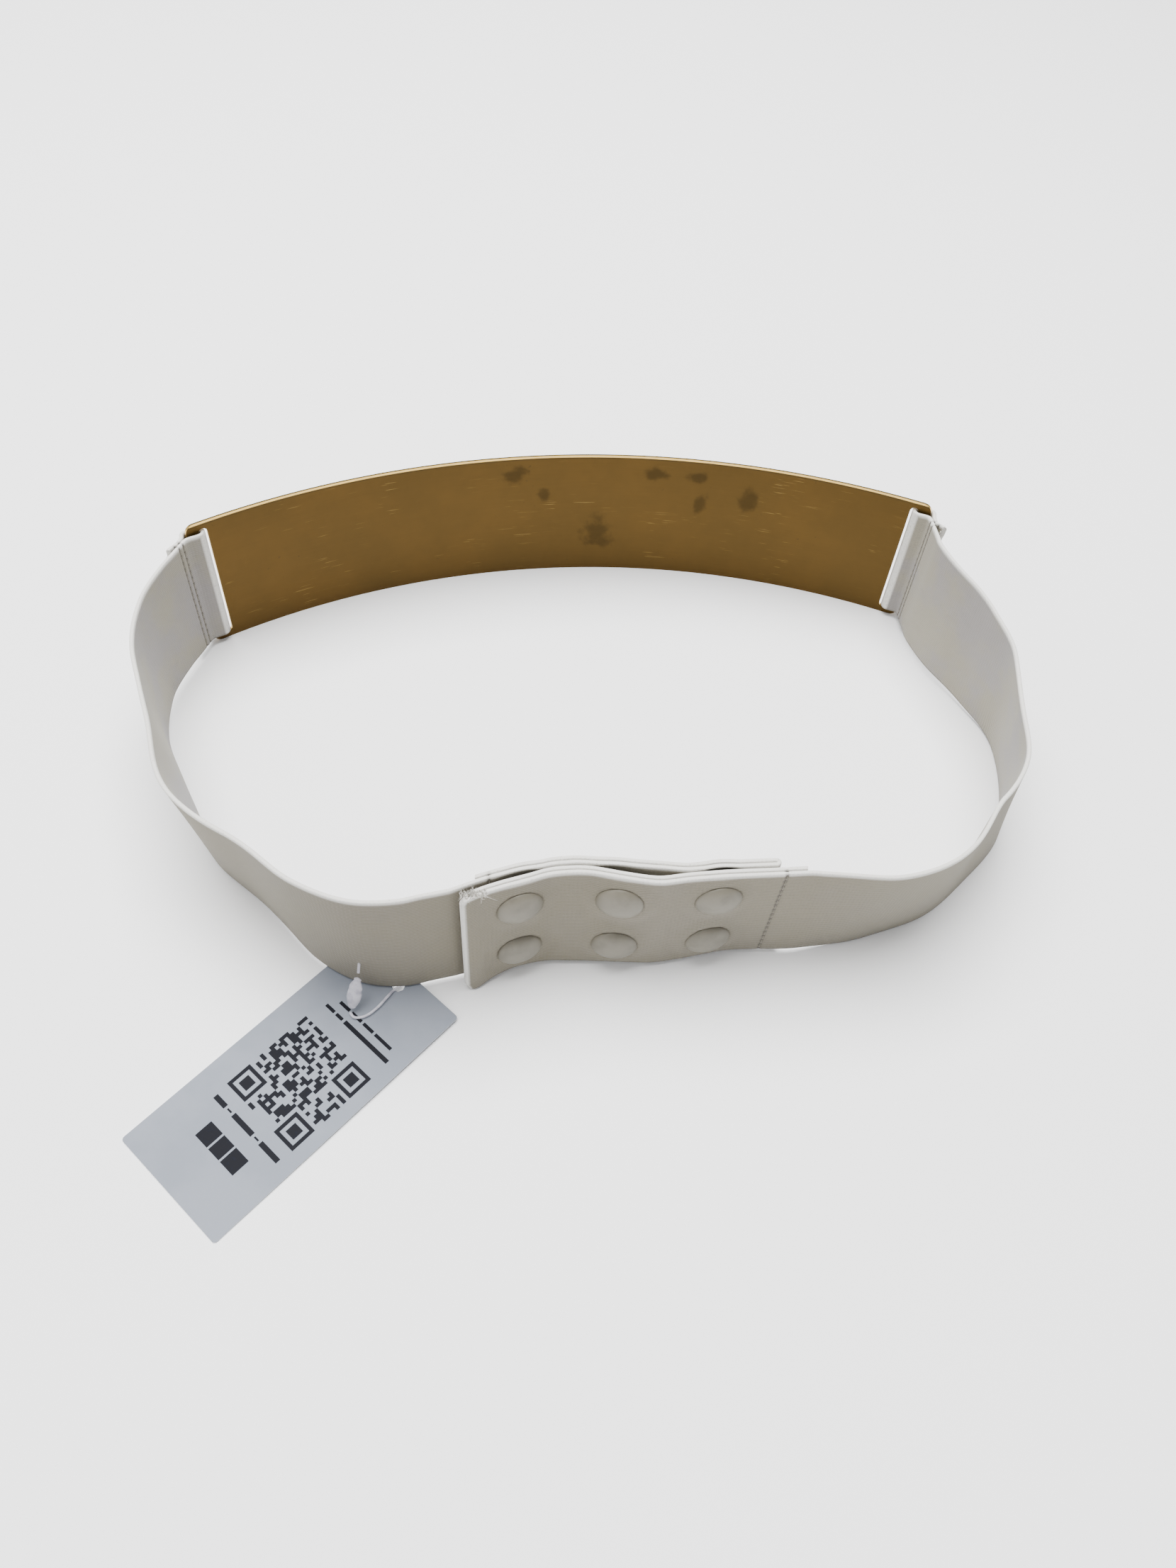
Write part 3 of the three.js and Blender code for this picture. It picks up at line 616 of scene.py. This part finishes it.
snapZ = [belt["closureLift"] + halfStrap - tab["snapRise"], belt["closureLift"] + halfStrap + tab["snapRise"]]

straps = dict(
    left=dict(side=-1, bend=35, splay=0.5, body="left_loop", end=[(-52, underMainY - 6.8), (-45, underMainY - 5.7)],
              route=[(-135.6, -29), (-135.4, -47), (-125.2, -72), (-115, -95.5), (-98.5, -112.8),
                     (-84, -131.5), (-71.5, -140.4), (-59, -142.1)],
              lean=lambda u: 9.5 * hump(u, 0.54, 0.36), lift=(0.55, 0.72)),
    right=dict(side=1, bend=62, splay=1.6, body="right_loop", end=[(56, outerMainY), (50, outerMainY)],
               route=[(127.6, -30), (135.0, -45.8), (141.0, -64), (138.0, -84.3), (129.2, -104),
                      (114.6, -117.6), (98, -129.4), (77.7, -135.6)],
               lean=lambda u: 9.5 * hump(u, 0.82, 0.18) - 10.5 * hump(u, 0.38, 0.26), lift=(0.86, 0.99)),
)


# How far the closure's cloth bends inwards, as (place along the tab, amount), at its two edges.
# These numbers were read off a scratch script that carried the photo's outline back into the model.
waves = dict(
    outerTop=([-46, -41, -35.8, -32, -24, -18.8, -12.5, -8, -4, 2.6, 10.2, 18, 26, 34, 41.7, 50, 60],
              [-4.6, -3.4, -1.5, -0.4, 1.5, 2.8, 3.1, 2.7, 1.7, -0.2, -1.8, -1.4, -1.2, -1.3, -1.5, -1.6, -1.6]),
    outerLow=([-46, -42, -38.5, -35.9, -32.4, -28, -23.7, -19.4, -10.9, -2.3, 6.2, 11.3, 19.2, 28.2, 32.7,
               41.5, 50, 60],
              [-3.8, -4.3, -4.0, -2.6, -0.8, 1.0, 1.9, 2.4, 1.9, 1.0, 0.0, -0.5, 0.0, 1.2, 1.8, 1.7, 1.1, 0.2]),
    underTop=([-52, -45, -41.7, -35.6, -27.8, -20, -12, -4.5, 3.2, 10.8, 18.5, 26.4, 34.3, 42.4, 50],
              [-6.8, -5.7, -4.6, -2.6, -0.9, 0.3, 0.9, 0.0, -1.2, -2.4, -3.6, -3.5, -3.6, -3.9, -4.1]),
    underLow=([-52, -45, -41.7, -36, -28, -20, -10, 0, 10, 20, 30, 42, 50],
              [-6.8, -5.7, -5.0, -4.0, -1.2, 0.3, 0.0, -1.2, -2.5, -2.0, -0.8, -0.6, -0.6]),
)


def bent(kind, x, z):  # the two edges' waves, shared out by height
    share = np.clip((z - belt["closureLift"]) / belt["strapWidth"], 0, 1)
    low, top = through(x, *waves[kind + "Low"]), through(x, *waves[kind + "Top"])
    return low + (top - low) * share


def leanAt(x, z, reach=3.0):  # the outer wave and its two slopes at one place
    at = lambda a, b: float(bent("outer", np.float64(a), np.float64(b)))
    slopeX = (at(x + reach, z) - at(x - reach, z)) / (2 * reach)
    slopeZ = (at(x, z + reach) - at(x, z - reach)) / (2 * reach)
    return (at(x, z), slopeX, slopeZ)


snapLean = {(cx, cz): leanAt(cx, cz) for cx in snapX for cz in snapZ}


def wave(kind, x, z):
    # Near a press stud both tabs lie in one flat plane, leaning as the outer wave does there. The
    # under tab never comes through the outer one.
    free = bent(kind, x, z)
    if kind == "under":
        free = np.maximum(free, bent("outer", x, z) - belt["tabGap"] + 0.35)
        free = np.where(x < tab["underFree"], bent(kind, x, z), free)
    total, held = 0, 0
    for (cx, cz), (depth, slopeX, slopeZ) in snapLean.items():
        near = 1 - smooth(np.hypot(x - cx, z - cz), 6.8, 12.4)
        total = total + near
        held = held + near * (depth + slopeX * (x - cx) + slopeZ * (z - cz))
    return free * (1 - total) + held


def loopShape(strap):
    # Round the end bar, in the bar's own frame: x past the plate's end, y out of its convex face.
    bend = math.radians(strap["bend"])
    angle = strap["side"] * (halfAngle - belt["endBar"] / 2 / belt["plateRadius"])
    origin = np.array([belt["plateRadius"] * math.sin(angle), chordY + belt["plateRadius"] * math.cos(angle)])
    t = strap["side"] * np.array([math.cos(angle), -math.sin(angle)])
    n = np.array([math.sin(angle), math.cos(angle)])
    f = np.array([math.cos(bend), -math.sin(bend)])
    m = np.array([math.sin(bend), math.cos(bend)])
    halfBar, halfPlate = belt["endBar"] / 2, belt["plateThickness"] / 2
    meet = np.array([halfBar, -halfPlate]) + f * (belt["loopReach"] + belt["loopSlack"] / 2) + m * (layer - 0.3)
    at = lambda along, out: meet + f * along + m * out
    turn = halfPlate + belt["loopSlack"] + belt["strapThickness"] / 2
    turnX = -halfBar + 0.3
    rounds = np.linspace(math.pi / 2, 1.5 * math.pi, 24)[:, None]
    arc = np.hstack([turnX + turn * np.cos(rounds), turn * np.sin(rounds)])
    local = np.vstack([
        at(belt["loopTail"], layer)[None],
        bezier(at(0.4, layer), at(-1.8, layer), (halfBar + belt["loopShoulder"], turn), (halfBar - 0.2, turn)),
        arc,
        bezier(arc[-1], (turnX + 2.6, -turn), at(-1.6, -layer), at(0.8, -layer))[1:],
        at(belt["loopRoot"], -layer)[None],
    ])
    plan = lambda p: origin + np.outer(p[:, 0], t) + np.outer(p[:, 1], n)
    spot = lambda along, out: plan(at(along, out)[None])[0]
    return evenly(plan(local), 0.35), spot


def foldTip(strap):  # the middle of the turn, in the slot
    angle = strap["side"] * (halfAngle - (belt["endBar"] + 1.0) / belt["plateRadius"])
    return np.array([(belt["plateRadius"] - 2) * math.sin(angle), chordY + (belt["plateRadius"] - 2) * math.cos(angle)])


def makeStrap(name):
    strap = straps[name]
    loop, spot = loopShape(strap)
    route = [spot(belt["loopRoot"] + 0.3, -layer), spot(belt["loopRoot"] + 5, -layer), *strap["route"], *strap["end"]]
    band = evenly(throughPoints(route), 1.2)
    u = measured(band) / measured(band)[-1]
    lean = np.radians(strap["lean"](u)) * strap["side"]
    lower = (belt["loopBottom"] * (1 - smooth(u, 0.02, 0.4)) + belt["closureLift"] * smooth(u, *strap["lift"]))
    centre = np.vstack([loop, band])
    lean = np.concatenate([np.zeros(len(loop)), lean])
    lower = np.concatenate([np.full(len(loop), float(belt["loopBottom"])), lower])
    s = measured(centre)
    loopEnd = measured(loop)[-1]
    # Needle rows pinch the cloth where the two layers are sewn together.
    rows = [belt["loopTail"] - 3.6, belt["loopTail"] - 1.6,
            loopEnd - belt["loopRoot"] + 3.6, loopEnd - belt["loopRoot"] + 1.6]
    thick = 1 - sum(0.34 * np.exp(-((s - row) / 0.45) ** 2) for row in rows)
    total = s[-1]
    foldAt = s[int(np.argmin(np.hypot(*(loop - foldTip(strap)).T)))]

    def push(points, s):
        z = points[..., 2]
        moved = np.zeros(points.shape)
        fromEnd = total - s
        fade = (1 - smooth(fromEnd, 4, 34))[:, None]
        if name == "right":
            moved[..., 1] = wave("outer", np.full(z.shape, tab["outerRoot"]), z) * fade
        # The raw end splays away from the strap, most at the top.
        splay = (1 - smooth(s, 0, 4.5))[:, None] * smooth(z, 24, 48) * strap["splay"]
        out = spot(0, 1) - spot(0, 0)
        moved[..., :2] += splay[..., None] * out
        moved[..., 2] += splay * 0.5
        # Free cloth is a little uneven.
        free = (smooth(s, loopEnd + 2, loopEnd + 25) * smooth(fromEnd, 2, 25))[:, None]
        ripple = 0.30 * np.sin(s[:, None] / 9.0 + z / 17.0) + 0.18 * np.sin(s[:, None] / 4.1 - z / 8.0)
        moved[..., :2] += (ripple * free * 0.5)[..., None]
        return moved

    split = int(np.searchsorted(s, loopEnd + 30))
    cloth = []
    for label, cut, ragged in (("Root", slice(0, split + 1), (0.45, 0)), ("Band", slice(split, None), (0, 0))):
        # The needle rows are darkened with painted shade.
        cloth.append(sweep(f"{name}{label}", centre[cut], lean[cut], lower[cut], thick[cut], push, s[cut], ragged,
                           worn=[(foldAt, 1.35), (0, 0.5)], creaseShade=[(row, 0.42) for row in rows], paintedShadeSide=strap["side"]))
    root, free = cloth
    start, end = spot(belt["loopRoot"] + 1, -layer), centre[split - 2]
    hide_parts(f"{name}_loop")
    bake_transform(root)
    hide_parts(f"{name}_band")
    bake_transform(free)
    return spot


spots = {name: makeStrap(name) for name in straps}
print("straps swept")


# ---- closure tabs ----
def tabLine(rootX, endX, tailX, mainY, tailY):
    # Along the main layer, round the fold and back along the tail.
    towards = np.sign(endX - rootX)
    radius = abs(mainY - tailY) / 2
    bendX = endX - towards * (radius + belt["strapThickness"] / 2)
    middle = (mainY + tailY) / 2
    turn = np.linspace(0, math.pi, 13)
    facing = np.sign(mainY - middle)
    fold = np.stack([bendX + towards * radius * np.sin(turn), middle + radius * facing * np.cos(turn)], 1)
    straightMain = evenly(np.array([[rootX, mainY], fold[0]]), 0.5)
    straightTail = evenly(np.array([fold[-1], [tailX, tailY]]), 0.5)
    return np.vstack([straightMain[:-1], fold, straightTail[1:]])


def makeTabs():
    tabs = dict(seamDent=0.34, lip=0.55, cornerDrop=1.5, cornerRound=2.2, cornerLow=1.8, cornerTop=46.8)

    def under(points, s):
        moved = np.zeros(points.shape)
        moved[..., 1] = wave("under", points[..., 0], points[..., 2])
        return moved

    def outer(points, s):
        x, z = points[..., 0], points[..., 2]
        moved = np.zeros(points.shape)
        # The cloth stands up a little round each cap, so the cap looks sunk in it.
        ridge = np.zeros(x.shape)
        for cx in snapX:
            for cz in snapZ:
                r = np.hypot(x - cx, z - cz)
                ridge = np.maximum(ridge, smooth(r, 5.0, 6.4) * (1 - smooth(r, 6.9, 11.5)))
        moved[..., 1] = wave("outer", x, z) - tabs["lip"] * ridge * (points[..., 1] < outerMainY)
        # Its free end's lower corner hangs, and both corners are rounded.
        hang = smooth(x, -33, -41) * (1 - smooth(z, 2, 20))
        lowCorner = np.maximum(1 - (z - tabs["cornerLow"]) / tabs["cornerRound"], 0) ** 2
        topCorner = np.maximum(1 - (tabs["cornerTop"] - z) / tabs["cornerRound"], 0) ** 2
        moved[..., 2] = -tabs["cornerDrop"] * hang
        moved[..., 0] = tabs["cornerRound"] * 0.8 * (lowCorner + topCorner) * smooth(x, -38, -43)
        return moved

    line = tabLine(tab["underRoot"], tab["underEnd"], tab["underTail"], underMainY, underTailY)
    s = measured(line)
    seams = [10.5, s[-1] - 3.5]
    thick = 1 - sum(0.2 * np.exp(-((s - row) / 0.5) ** 2) for row in seams)
    foldAt = s[int(np.argmax(line[:, 0]))]
    lower = belt["closureLift"]
    # Its seam rows are darkened with painted shade.
    underTab = sweep("underTab", line, 0, lower, thick, under, s, (0, 0.4), worn=[(foldAt, 1.6)],
                     creaseShade=[(row, 0.6) for row in seams], paintedShadeSide=-1)
    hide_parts("under_tab")
    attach(underTab, "rear")

    line = tabLine(tab["outerRoot"], tab["outerEnd"], tab["outerRoot"], outerMainY, outerTailY)
    s = measured(line)
    rows = (5.6, s[-1] - 5.6)
    thick = 1 - sum(tabs["seamDent"] * np.exp(-((s - row) / 0.45) ** 2) for row in rows)
    foldAt = s[int(np.argmin(line[:, 0]))]
    # Its seam row, and a line just past the fold where the fold's shadow falls, are darkened with painted shade.
    outerTab = sweep("outerTab", line, 0, lower, thick, outer, s, (0, 0.5), worn=[(foldAt - 0.4, 0.9)],
                     creaseShade=[(rows[0], 0.6), (foldAt + 2.2, 1.1)], paintedShadeSide=1)
    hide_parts("outer_tab")
    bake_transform(outerTab)


makeTabs()
print("tabs folded")


# ---- plate ----
def makePlate():
    # A sheet of cells in (distance along the arc, height), with the slots' cells left out. Beside a
    # slot's round end, and at the sheet's corners, the rows of points close up to follow the curve.
    plate = dict(edgeRound=0.28, mainStep=2.0)
    half, tall = belt["plateLength"] / 2, belt["plateHeight"]
    radius = belt["slotWidth"] / 2
    slotFrom = half - belt["endBar"] - belt["slotWidth"]
    slotTo = half - belt["endBar"]
    slotLow = belt["slotEndWall"] + radius
    across = np.linspace(-1, 1, 13)
    slotXs = slotFrom + radius + radius * np.sin(across * math.pi / 2)
    barXs = np.linspace(slotTo, half - belt["plateCorner"], 3)[1:]
    cornerXs = half - belt["plateCorner"] + belt["plateCorner"] * np.sin(np.linspace(0, math.pi / 2, 9)[1:])
    right = np.concatenate([slotXs, barXs, cornerXs])
    middle = np.linspace(-slotFrom, slotFrom, int(2 * slotFrom / plate["mainStep"]) + 1)[1:-1]
    xs = np.concatenate([-right[::-1], middle, right])
    ends, mids = 4, 22
    rows = np.concatenate([np.linspace(0, slotLow, ends + 1)[:-1], np.linspace(slotLow, tall - slotLow, mids + 1),
                           np.linspace(tall - slotLow, tall, ends + 1)[1:]])
    a = np.abs(xs)
    dip = np.sqrt(np.maximum(radius ** 2 - (a - slotFrom - radius) ** 2, 0))
    inSlot = (a >= slotFrom - 1e-9) & (a <= slotTo + 1e-9)
    slotEdge = np.where(inSlot, slotLow - dip, slotLow)
    over = np.maximum(a - (half - belt["plateCorner"]), 0)
    rim = belt["plateCorner"] - np.sqrt(np.maximum(belt["plateCorner"] ** 2 - over ** 2, 0))
    height = np.interp(rows, [0, slotLow, tall - slotLow, tall], [0, 1, 2, 3])
    knots = np.stack([rim, np.maximum(slotEdge, rim + 0.2), tall - np.maximum(slotEdge, rim + 0.2), tall - rim], 1)
    k = np.minimum(height.astype(int), 2)
    z = knots[:, k] + (knots[:, k + 1] - knots[:, k]) * (height - k)
    angle = np.broadcast_to((xs / belt["plateRadius"])[:, None], z.shape)
    points = np.stack([belt["plateRadius"] * np.sin(angle), chordY + belt["plateRadius"] * np.cos(angle), z], -1)
    count = len(rows)
    faces = gridFaces(len(xs), count, closed=False).reshape(len(xs) - 1, count - 1, 4)
    cellMiddle = np.abs((xs[:-1] + xs[1:]) / 2)
    inColumn = (cellMiddle > slotFrom) & (cellMiddle < slotTo)
    inRow = (np.arange(count - 1) >= ends) & (np.arange(count - 1) < ends + mids)
    kept = faces[~(inColumn[:, None] & inRow[None])]
    used, renumbered = np.unique(kept, return_inverse=True)
    flat = renumbered.reshape(-1, 4)
    piece = makePiece("curvedPlate", points.reshape(-1, 3)[used], flat, angle=40)
    first = piece.data.polygons[0]
    outwards = first.normal.y
    wall = piece.modifiers.new("sheet", "SOLIDIFY")
    wall.thickness = belt["plateThickness"] * mm
    wall.offset = 0
    if outwards < 0:
        piece.data.flip_normals()
    rounding = piece.modifiers.new("edges", "BEVEL")
    rounding.width = plate["edgeRound"] * mm
    rounding.segments = 3
    rounding.limit_method = "ANGLE"
    rounding.angle_limit = math.radians(60)
    rounding.harden_normals = True
    dress(piece, brass)
    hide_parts("curved_plate")
    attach(piece, "plate")


makePlate()
print("plate bent")


# ---- press studs ----
def makePressStuds():
    snap = dict(capRadius=6.6, capDome=2.6, capRim=0.4, post=1.2, socket=5.5, wall=1.1, collar=1.9,
                flange=5, flangeThick=0.5, stud=1.9, studHigh=1, pin=1, pinFlange=4.5, pinFlangeThick=0.9, gap=0.3)
    gap = snap["gap"]
    outerBack = doubled + belt["tabGap"]
    seat = outerBack + doubled + gap
    studBack = doubled + gap
    studFront = studBack + snap["flangeThick"]
    studTop = studFront + snap["studHigh"]
    socketFront, socketBack = studFront + gap, outerBack - gap
    recessTop = studTop + gap
    bore = snap["post"] + gap
    collar = bore + snap["wall"]
    recess = snap["stud"] + 0.4
    share = np.cos(np.linspace(0, math.pi / 2, 22))
    dome = np.stack([snap["capRadius"] * share, seat + snap["capRim"] + snap["capDome"] * (1 - share ** 2) ** 0.62], 1)
    rim = np.linspace(-math.pi / 2, 0, 7)[:-1]
    roundRim = np.stack([snap["capRadius"] - snap["capRim"] * (1 - np.cos(rim)),
                         seat + snap["capRim"] * (1 + np.sin(rim))], 1)
    dome[-1, 0] = 0
    profiles = dict(
        cap=np.vstack([[[0, recessTop + gap], [snap["post"], recessTop + gap], [snap["post"], seat]], roundRim, dome]),
        socket=[[recess, socketFront], [5.2, socketFront], [snap["socket"], socketFront + 0.15],
                [snap["socket"], socketBack - 0.4],
                [snap["socket"] - 0.2, socketBack - 0.15], [snap["socket"] - 0.6, socketBack], [collar, socketBack],
                [collar, socketBack + snap["collar"]], [bore, socketBack + snap["collar"]],
                [bore, recessTop], [recess, recessTop],
                [recess, socketFront]],
        stud=[[0, studBack + 1.1], [snap["pin"] + gap, studBack + 1.1], [snap["pin"] + gap, studBack],
              [snap["flange"], studBack],
              [snap["flange"], studBack + 0.3], [4.8, studFront - 0.05], [4.5, studFront], [1.7, studFront],
              [snap["stud"], studFront + 0.35],
              [snap["stud"], studFront + 0.65], [1.7, studTop], [0, studTop]],
        pin=[[0, -gap - 0.9], [3.3, -gap - 0.8], [4.1, -gap - 0.65], [4.45, -gap - 0.4], [4.5, -gap - 0.2], [4.5, -gap],
             [snap["pin"], -gap], [snap["pin"], studBack + 0.8], [0, studBack + 0.8]],
    )
    kinds = dict(cap=("outer_tab", enamel, "cap_enamel"), socket=("outer_tab", nickel, "snap_nickel"),
                 stud=("rear", nickel, "snap_nickel"), pin=("rear", nickel, "snap_nickel"))
    for cx, column in zip(snapX, ("left", "middle", "right")):
        for cz, row in zip(snapZ, ("lower", "upper")):
            for kind, (body, finish, slot) in kinds.items():
                name = f"{kind}{column.title()}{row.title()}"
                rounds = 72 if kind == "cap" else 48
                piece = turned(name, profiles[kind], (cx, cz), seat, snapLean[cx, cz], rounds)
                dress(piece, finish)
                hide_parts(f"{kind}_{column}_{row}")
                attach(piece, body)


makePressStuds()
print("press studs turned")


# ---- stitches ----
def stitchLines(centre, across, half, bottom, kind=None, pitch=2.7, gap=0.5, sink=0.16):
    # Each stitch is a short thread lying up the strap's face, arched: in at both ends, proud between.
    starts = bottom + 1.2 + np.arange(0, belt["strapWidth"] - 3.0, pitch)
    t = np.linspace(0, 1, 7)
    arch = np.sin(t * math.pi) ** 0.6
    lines = []
    for sign in (1, -1):
        for start in starts:
            z = start + (pitch - gap) * t
            out = sign * (half - 0.34 + (sink + 0.12) * arch)
            line = np.stack([centre[0] + across[0] * out, centre[1] + across[1] * out, z], 1)
            if kind:
                line[:, 1] += wave(kind, line[:, 0], line[:, 2])
            lines.append(line)
    return lines


def makeStitches():
    sewing = dict(radius=0.17)
    for name, strap in straps.items():
        spot = spots[name]
        across = (spot(0, 1) - spot(0, 0))
        for number, along in enumerate((1.6, 3.6), 1):
            lines = stitchLines(spot(along, 0), across, doubled / 2, belt["loopBottom"])
            points, faces = tubes(lines, sewing["radius"])
            piece = dress(makePiece(f"{name}LoopStitch{number}", points, faces), thread)
            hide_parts(f"{name}_loop_stitch_{number}")
            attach(piece, strap["body"])
    rows = (("underTabStitch", "under_tab_stitch", (tab["underSeam"], (underMainY + underTailY) / 2), "under"),
            ("outerTabStitch", "outer_tab_stitch", (tab["outerSeam"], (outerMainY + outerTailY) / 2), "outer"))
    for title, node, centre, kind in rows:
        points, faces = tubes(stitchLines(centre, (0, -1), doubled / 2, belt["closureLift"], kind), sewing["radius"])
        piece = dress(makePiece(title, points, faces), thread)
        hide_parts(node)
        if node == "under_tab_stitch":
            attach(piece, "rear")
        else:
            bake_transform(piece)


makeStitches()
print("rows sewn")


# ---- frayed ends ----
def fibres(origin, direction, spread, count, length, seed, width=(1.0, 0.2)):
    # Loose ends of yarn: each leaves its place on the cut edge and curls away by a random amount.
    pick = np.random.default_rng(seed)
    t = np.linspace(0, 1, 6)[None, :, None]
    start = np.array(origin)[None] + pick.uniform(-1, 1, (count, 3)) * np.array(spread)
    reach = pick.uniform(0.35, 1, (count, 1, 1)) * length
    way = np.array(direction) + pick.normal(0, 0.45, (count, 3))
    way /= np.linalg.norm(way, axis=1, keepdims=True)
    curl = pick.normal(0, 0.5, (count, 1, 3)) * reach
    lines = start[:, None] + way[:, None] * reach * t + curl * t ** 2
    lines[..., 2] = np.maximum(lines[..., 2], 0.2)
    taper = np.linspace(*width, 6)[None] * pick.uniform(0.06, 0.13, (count, 1))
    return tubes(lines, taper, 4)


def makeFray():
    fray = dict(count=70, length=1.7)
    for name, strap in straps.items():
        spot = spots[name]
        tail, past = spot(belt["loopTail"], layer), spot(belt["loopTail"] + 1, layer)
        way = np.append(past - tail, 0.15)
        middle = np.append(tail, belt["loopBottom"] + halfStrap)
        points, faces = fibres(middle, way, (0.5, 0.5, 22.2), fray["count"], fray["length"], 11 + strap["side"])
        piece = dress(makePiece(f"{name}TailFray", points, faces), fluff)
        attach(piece, strap["body"])
    points, faces = fibres((-38.8, outerMainY + 0.7 - 2.9, 46.9), (-0.2, -0.3, 0.7), (3.4, 1.2, 0.5), 150, 1.8, 5)
    piece = dress(makePiece("foldFray", points, faces), fluff)
    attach(piece, "outer_tab")


makeFray()
print("ends frayed")


# ---- swing tag's print ----
def makePrint():
    # Flat ink shapes just above the card: word-long bars, three blocks and a square of scattered cells.
    card = dict(length=84, width=39, thickness=0.4, lift=1.0, angle=42, hole=(-61.3, -142.2), inset=4.8, rise=0.03,
                firstBars=[(64.6, 8.1, 4.0, 1.0), (64.6, 3.3, 4.1, 1.0), (64.6, -1.6, 4.0, 1.0), (64.6, -6.4, 6.5, 1.0)],
                secondBars=[(61.4, 10.3, 3.4, 1.0), (61.4, 6.1, 2.6, 1.0), (61.4, 2.6, 17.6, 1.3)],
                thinBars=[(23.8, 11.2, 4.4, 1.5), (23.8, 6.0, 1.6, 0.5), (23.8, 3.6, 8.0, 1.5),
                          (23.8, -5.2, 1.6, 0.5), (23.8, -7.6, 7.2, 1.5)],
                blocks=[(16.2, 6.4, 4.9, 5.2), (16.2, 0.9, 4.3, 5.2), (16.2, -4.0, 5.2, 5.2)],
                code=(28.0, 55.2, -15.4, 11.8), cells=25)
    rects = [(x - high / 2, y - long, x + high / 2, y) for group in ("firstBars", "secondBars", "thinBars", "blocks")
             for x, y, long, high in card[group]]
    n = card["cells"]
    x0, x1, y0, y1 = card["code"]
    cell = np.array([(x1 - x0) / n, (y1 - y0) / n])
    i, j = np.meshgrid(np.arange(n), np.arange(n), indexing="ij")
    filled = np.random.default_rng(74).random((n, n)) < 0.5
    for ci, cj in ((3, 3), (3, n - 4), (n - 4, 3)):
        ring = np.maximum(np.abs(i - ci), np.abs(j - cj))
        filled = np.where(ring <= 4, (ring == 3) | (ring <= 1), filled)
    corner = np.argwhere(filled) * cell + [x0, y0]
    rects += [(a, b, a + cell[0], b + cell[1]) for a, b in corner]
    r = np.array(rects)
    low, high = card["thickness"] + 0.004, card["thickness"] + card["rise"]
    square = [(0, 1), (2, 1), (2, 3), (0, 3)]
    x = np.stack([r[:, a] for a, _ in square] * 2, 1)
    y = np.stack([r[:, b] for _, b in square] * 2, 1)
    z = np.broadcast_to([low] * 4 + [high] * 4, x.shape)
    # From the card's own frame, hinged up a little at the hole's end, to the table.
    tilt = math.asin(card["lift"] / card["length"])
    flatX = x * math.cos(tilt) - z * math.sin(tilt) + card["inset"] - card["length"]
    rise = x * math.sin(tilt) + z * math.cos(tilt)
    turn = math.radians(card["angle"])
    points = np.stack([card["hole"][0] + flatX * math.cos(turn) - y * math.sin(turn),
                       card["hole"][1] + flatX * math.sin(turn) + y * math.cos(turn), rise], -1).reshape(-1, 3)
    box = np.array([[3, 2, 1, 0], [4, 5, 6, 7], [0, 1, 5, 4], [1, 2, 6, 5], [2, 3, 7, 6], [3, 0, 4, 7]])
    faces = (box[None] + (np.arange(len(r)) * 8)[:, None, None]).reshape(-1, 4)
    piece = dress(makePiece("tagPrint", points, faces), ink)
    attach(piece, "tag")


makePrint()
dress(nodes["tag_card"], board)
print("tag printed")


# ---- floor and light ----
def makeStage():
    room = dict(floor=tint(252, 252, 252), sky=(0.97, 0.98, 1.0, 1.0), skyStrength=0.55,
                lamps=[("lampAbove", (-0.1, 0.35, 1.5), 82.0, 1.3), ("lampSide", (-0.9, -0.6, 0.9), 5.0, 1.0)])
    mesh = bpy.data.meshes.new("floor")
    mesh.from_pydata([(-4, -4, 0), (4, -4, 0), (4, 4, 0), (-4, 4, 0)], [], [(0, 1, 2, 3)])
    floor = bpy.data.objects.new("floor", mesh)
    bpy.context.scene.collection.objects.link(floor)
    f = Finish("floorPaint")
    mesh.materials.append(f.surface(Base_Color=room["floor"], Roughness=0.8))
    world = bpy.context.scene.world or bpy.data.worlds.new("room")
    bpy.context.scene.world = world
    world.use_nodes = True
    sky = world.node_tree.nodes["Background"]
    sky.inputs["Color"].default_value = room["sky"]
    sky.inputs["Strength"].default_value = room["skyStrength"]
    for name, place, power, size in room["lamps"]:
        data = bpy.data.lights.new(name, "AREA")
        data.energy = power
        data.size = size
        lamp = bpy.data.objects.new(name, data)
        lamp.location = place
        lamp.rotation_mode = "QUATERNION"
        lamp.rotation_quaternion = (Vector((0, 0, 0.02)) - Vector(place)).to_track_quat("-Z", "Y")
        bpy.context.scene.collection.objects.link(lamp)


makeStage()
print("stage lit")
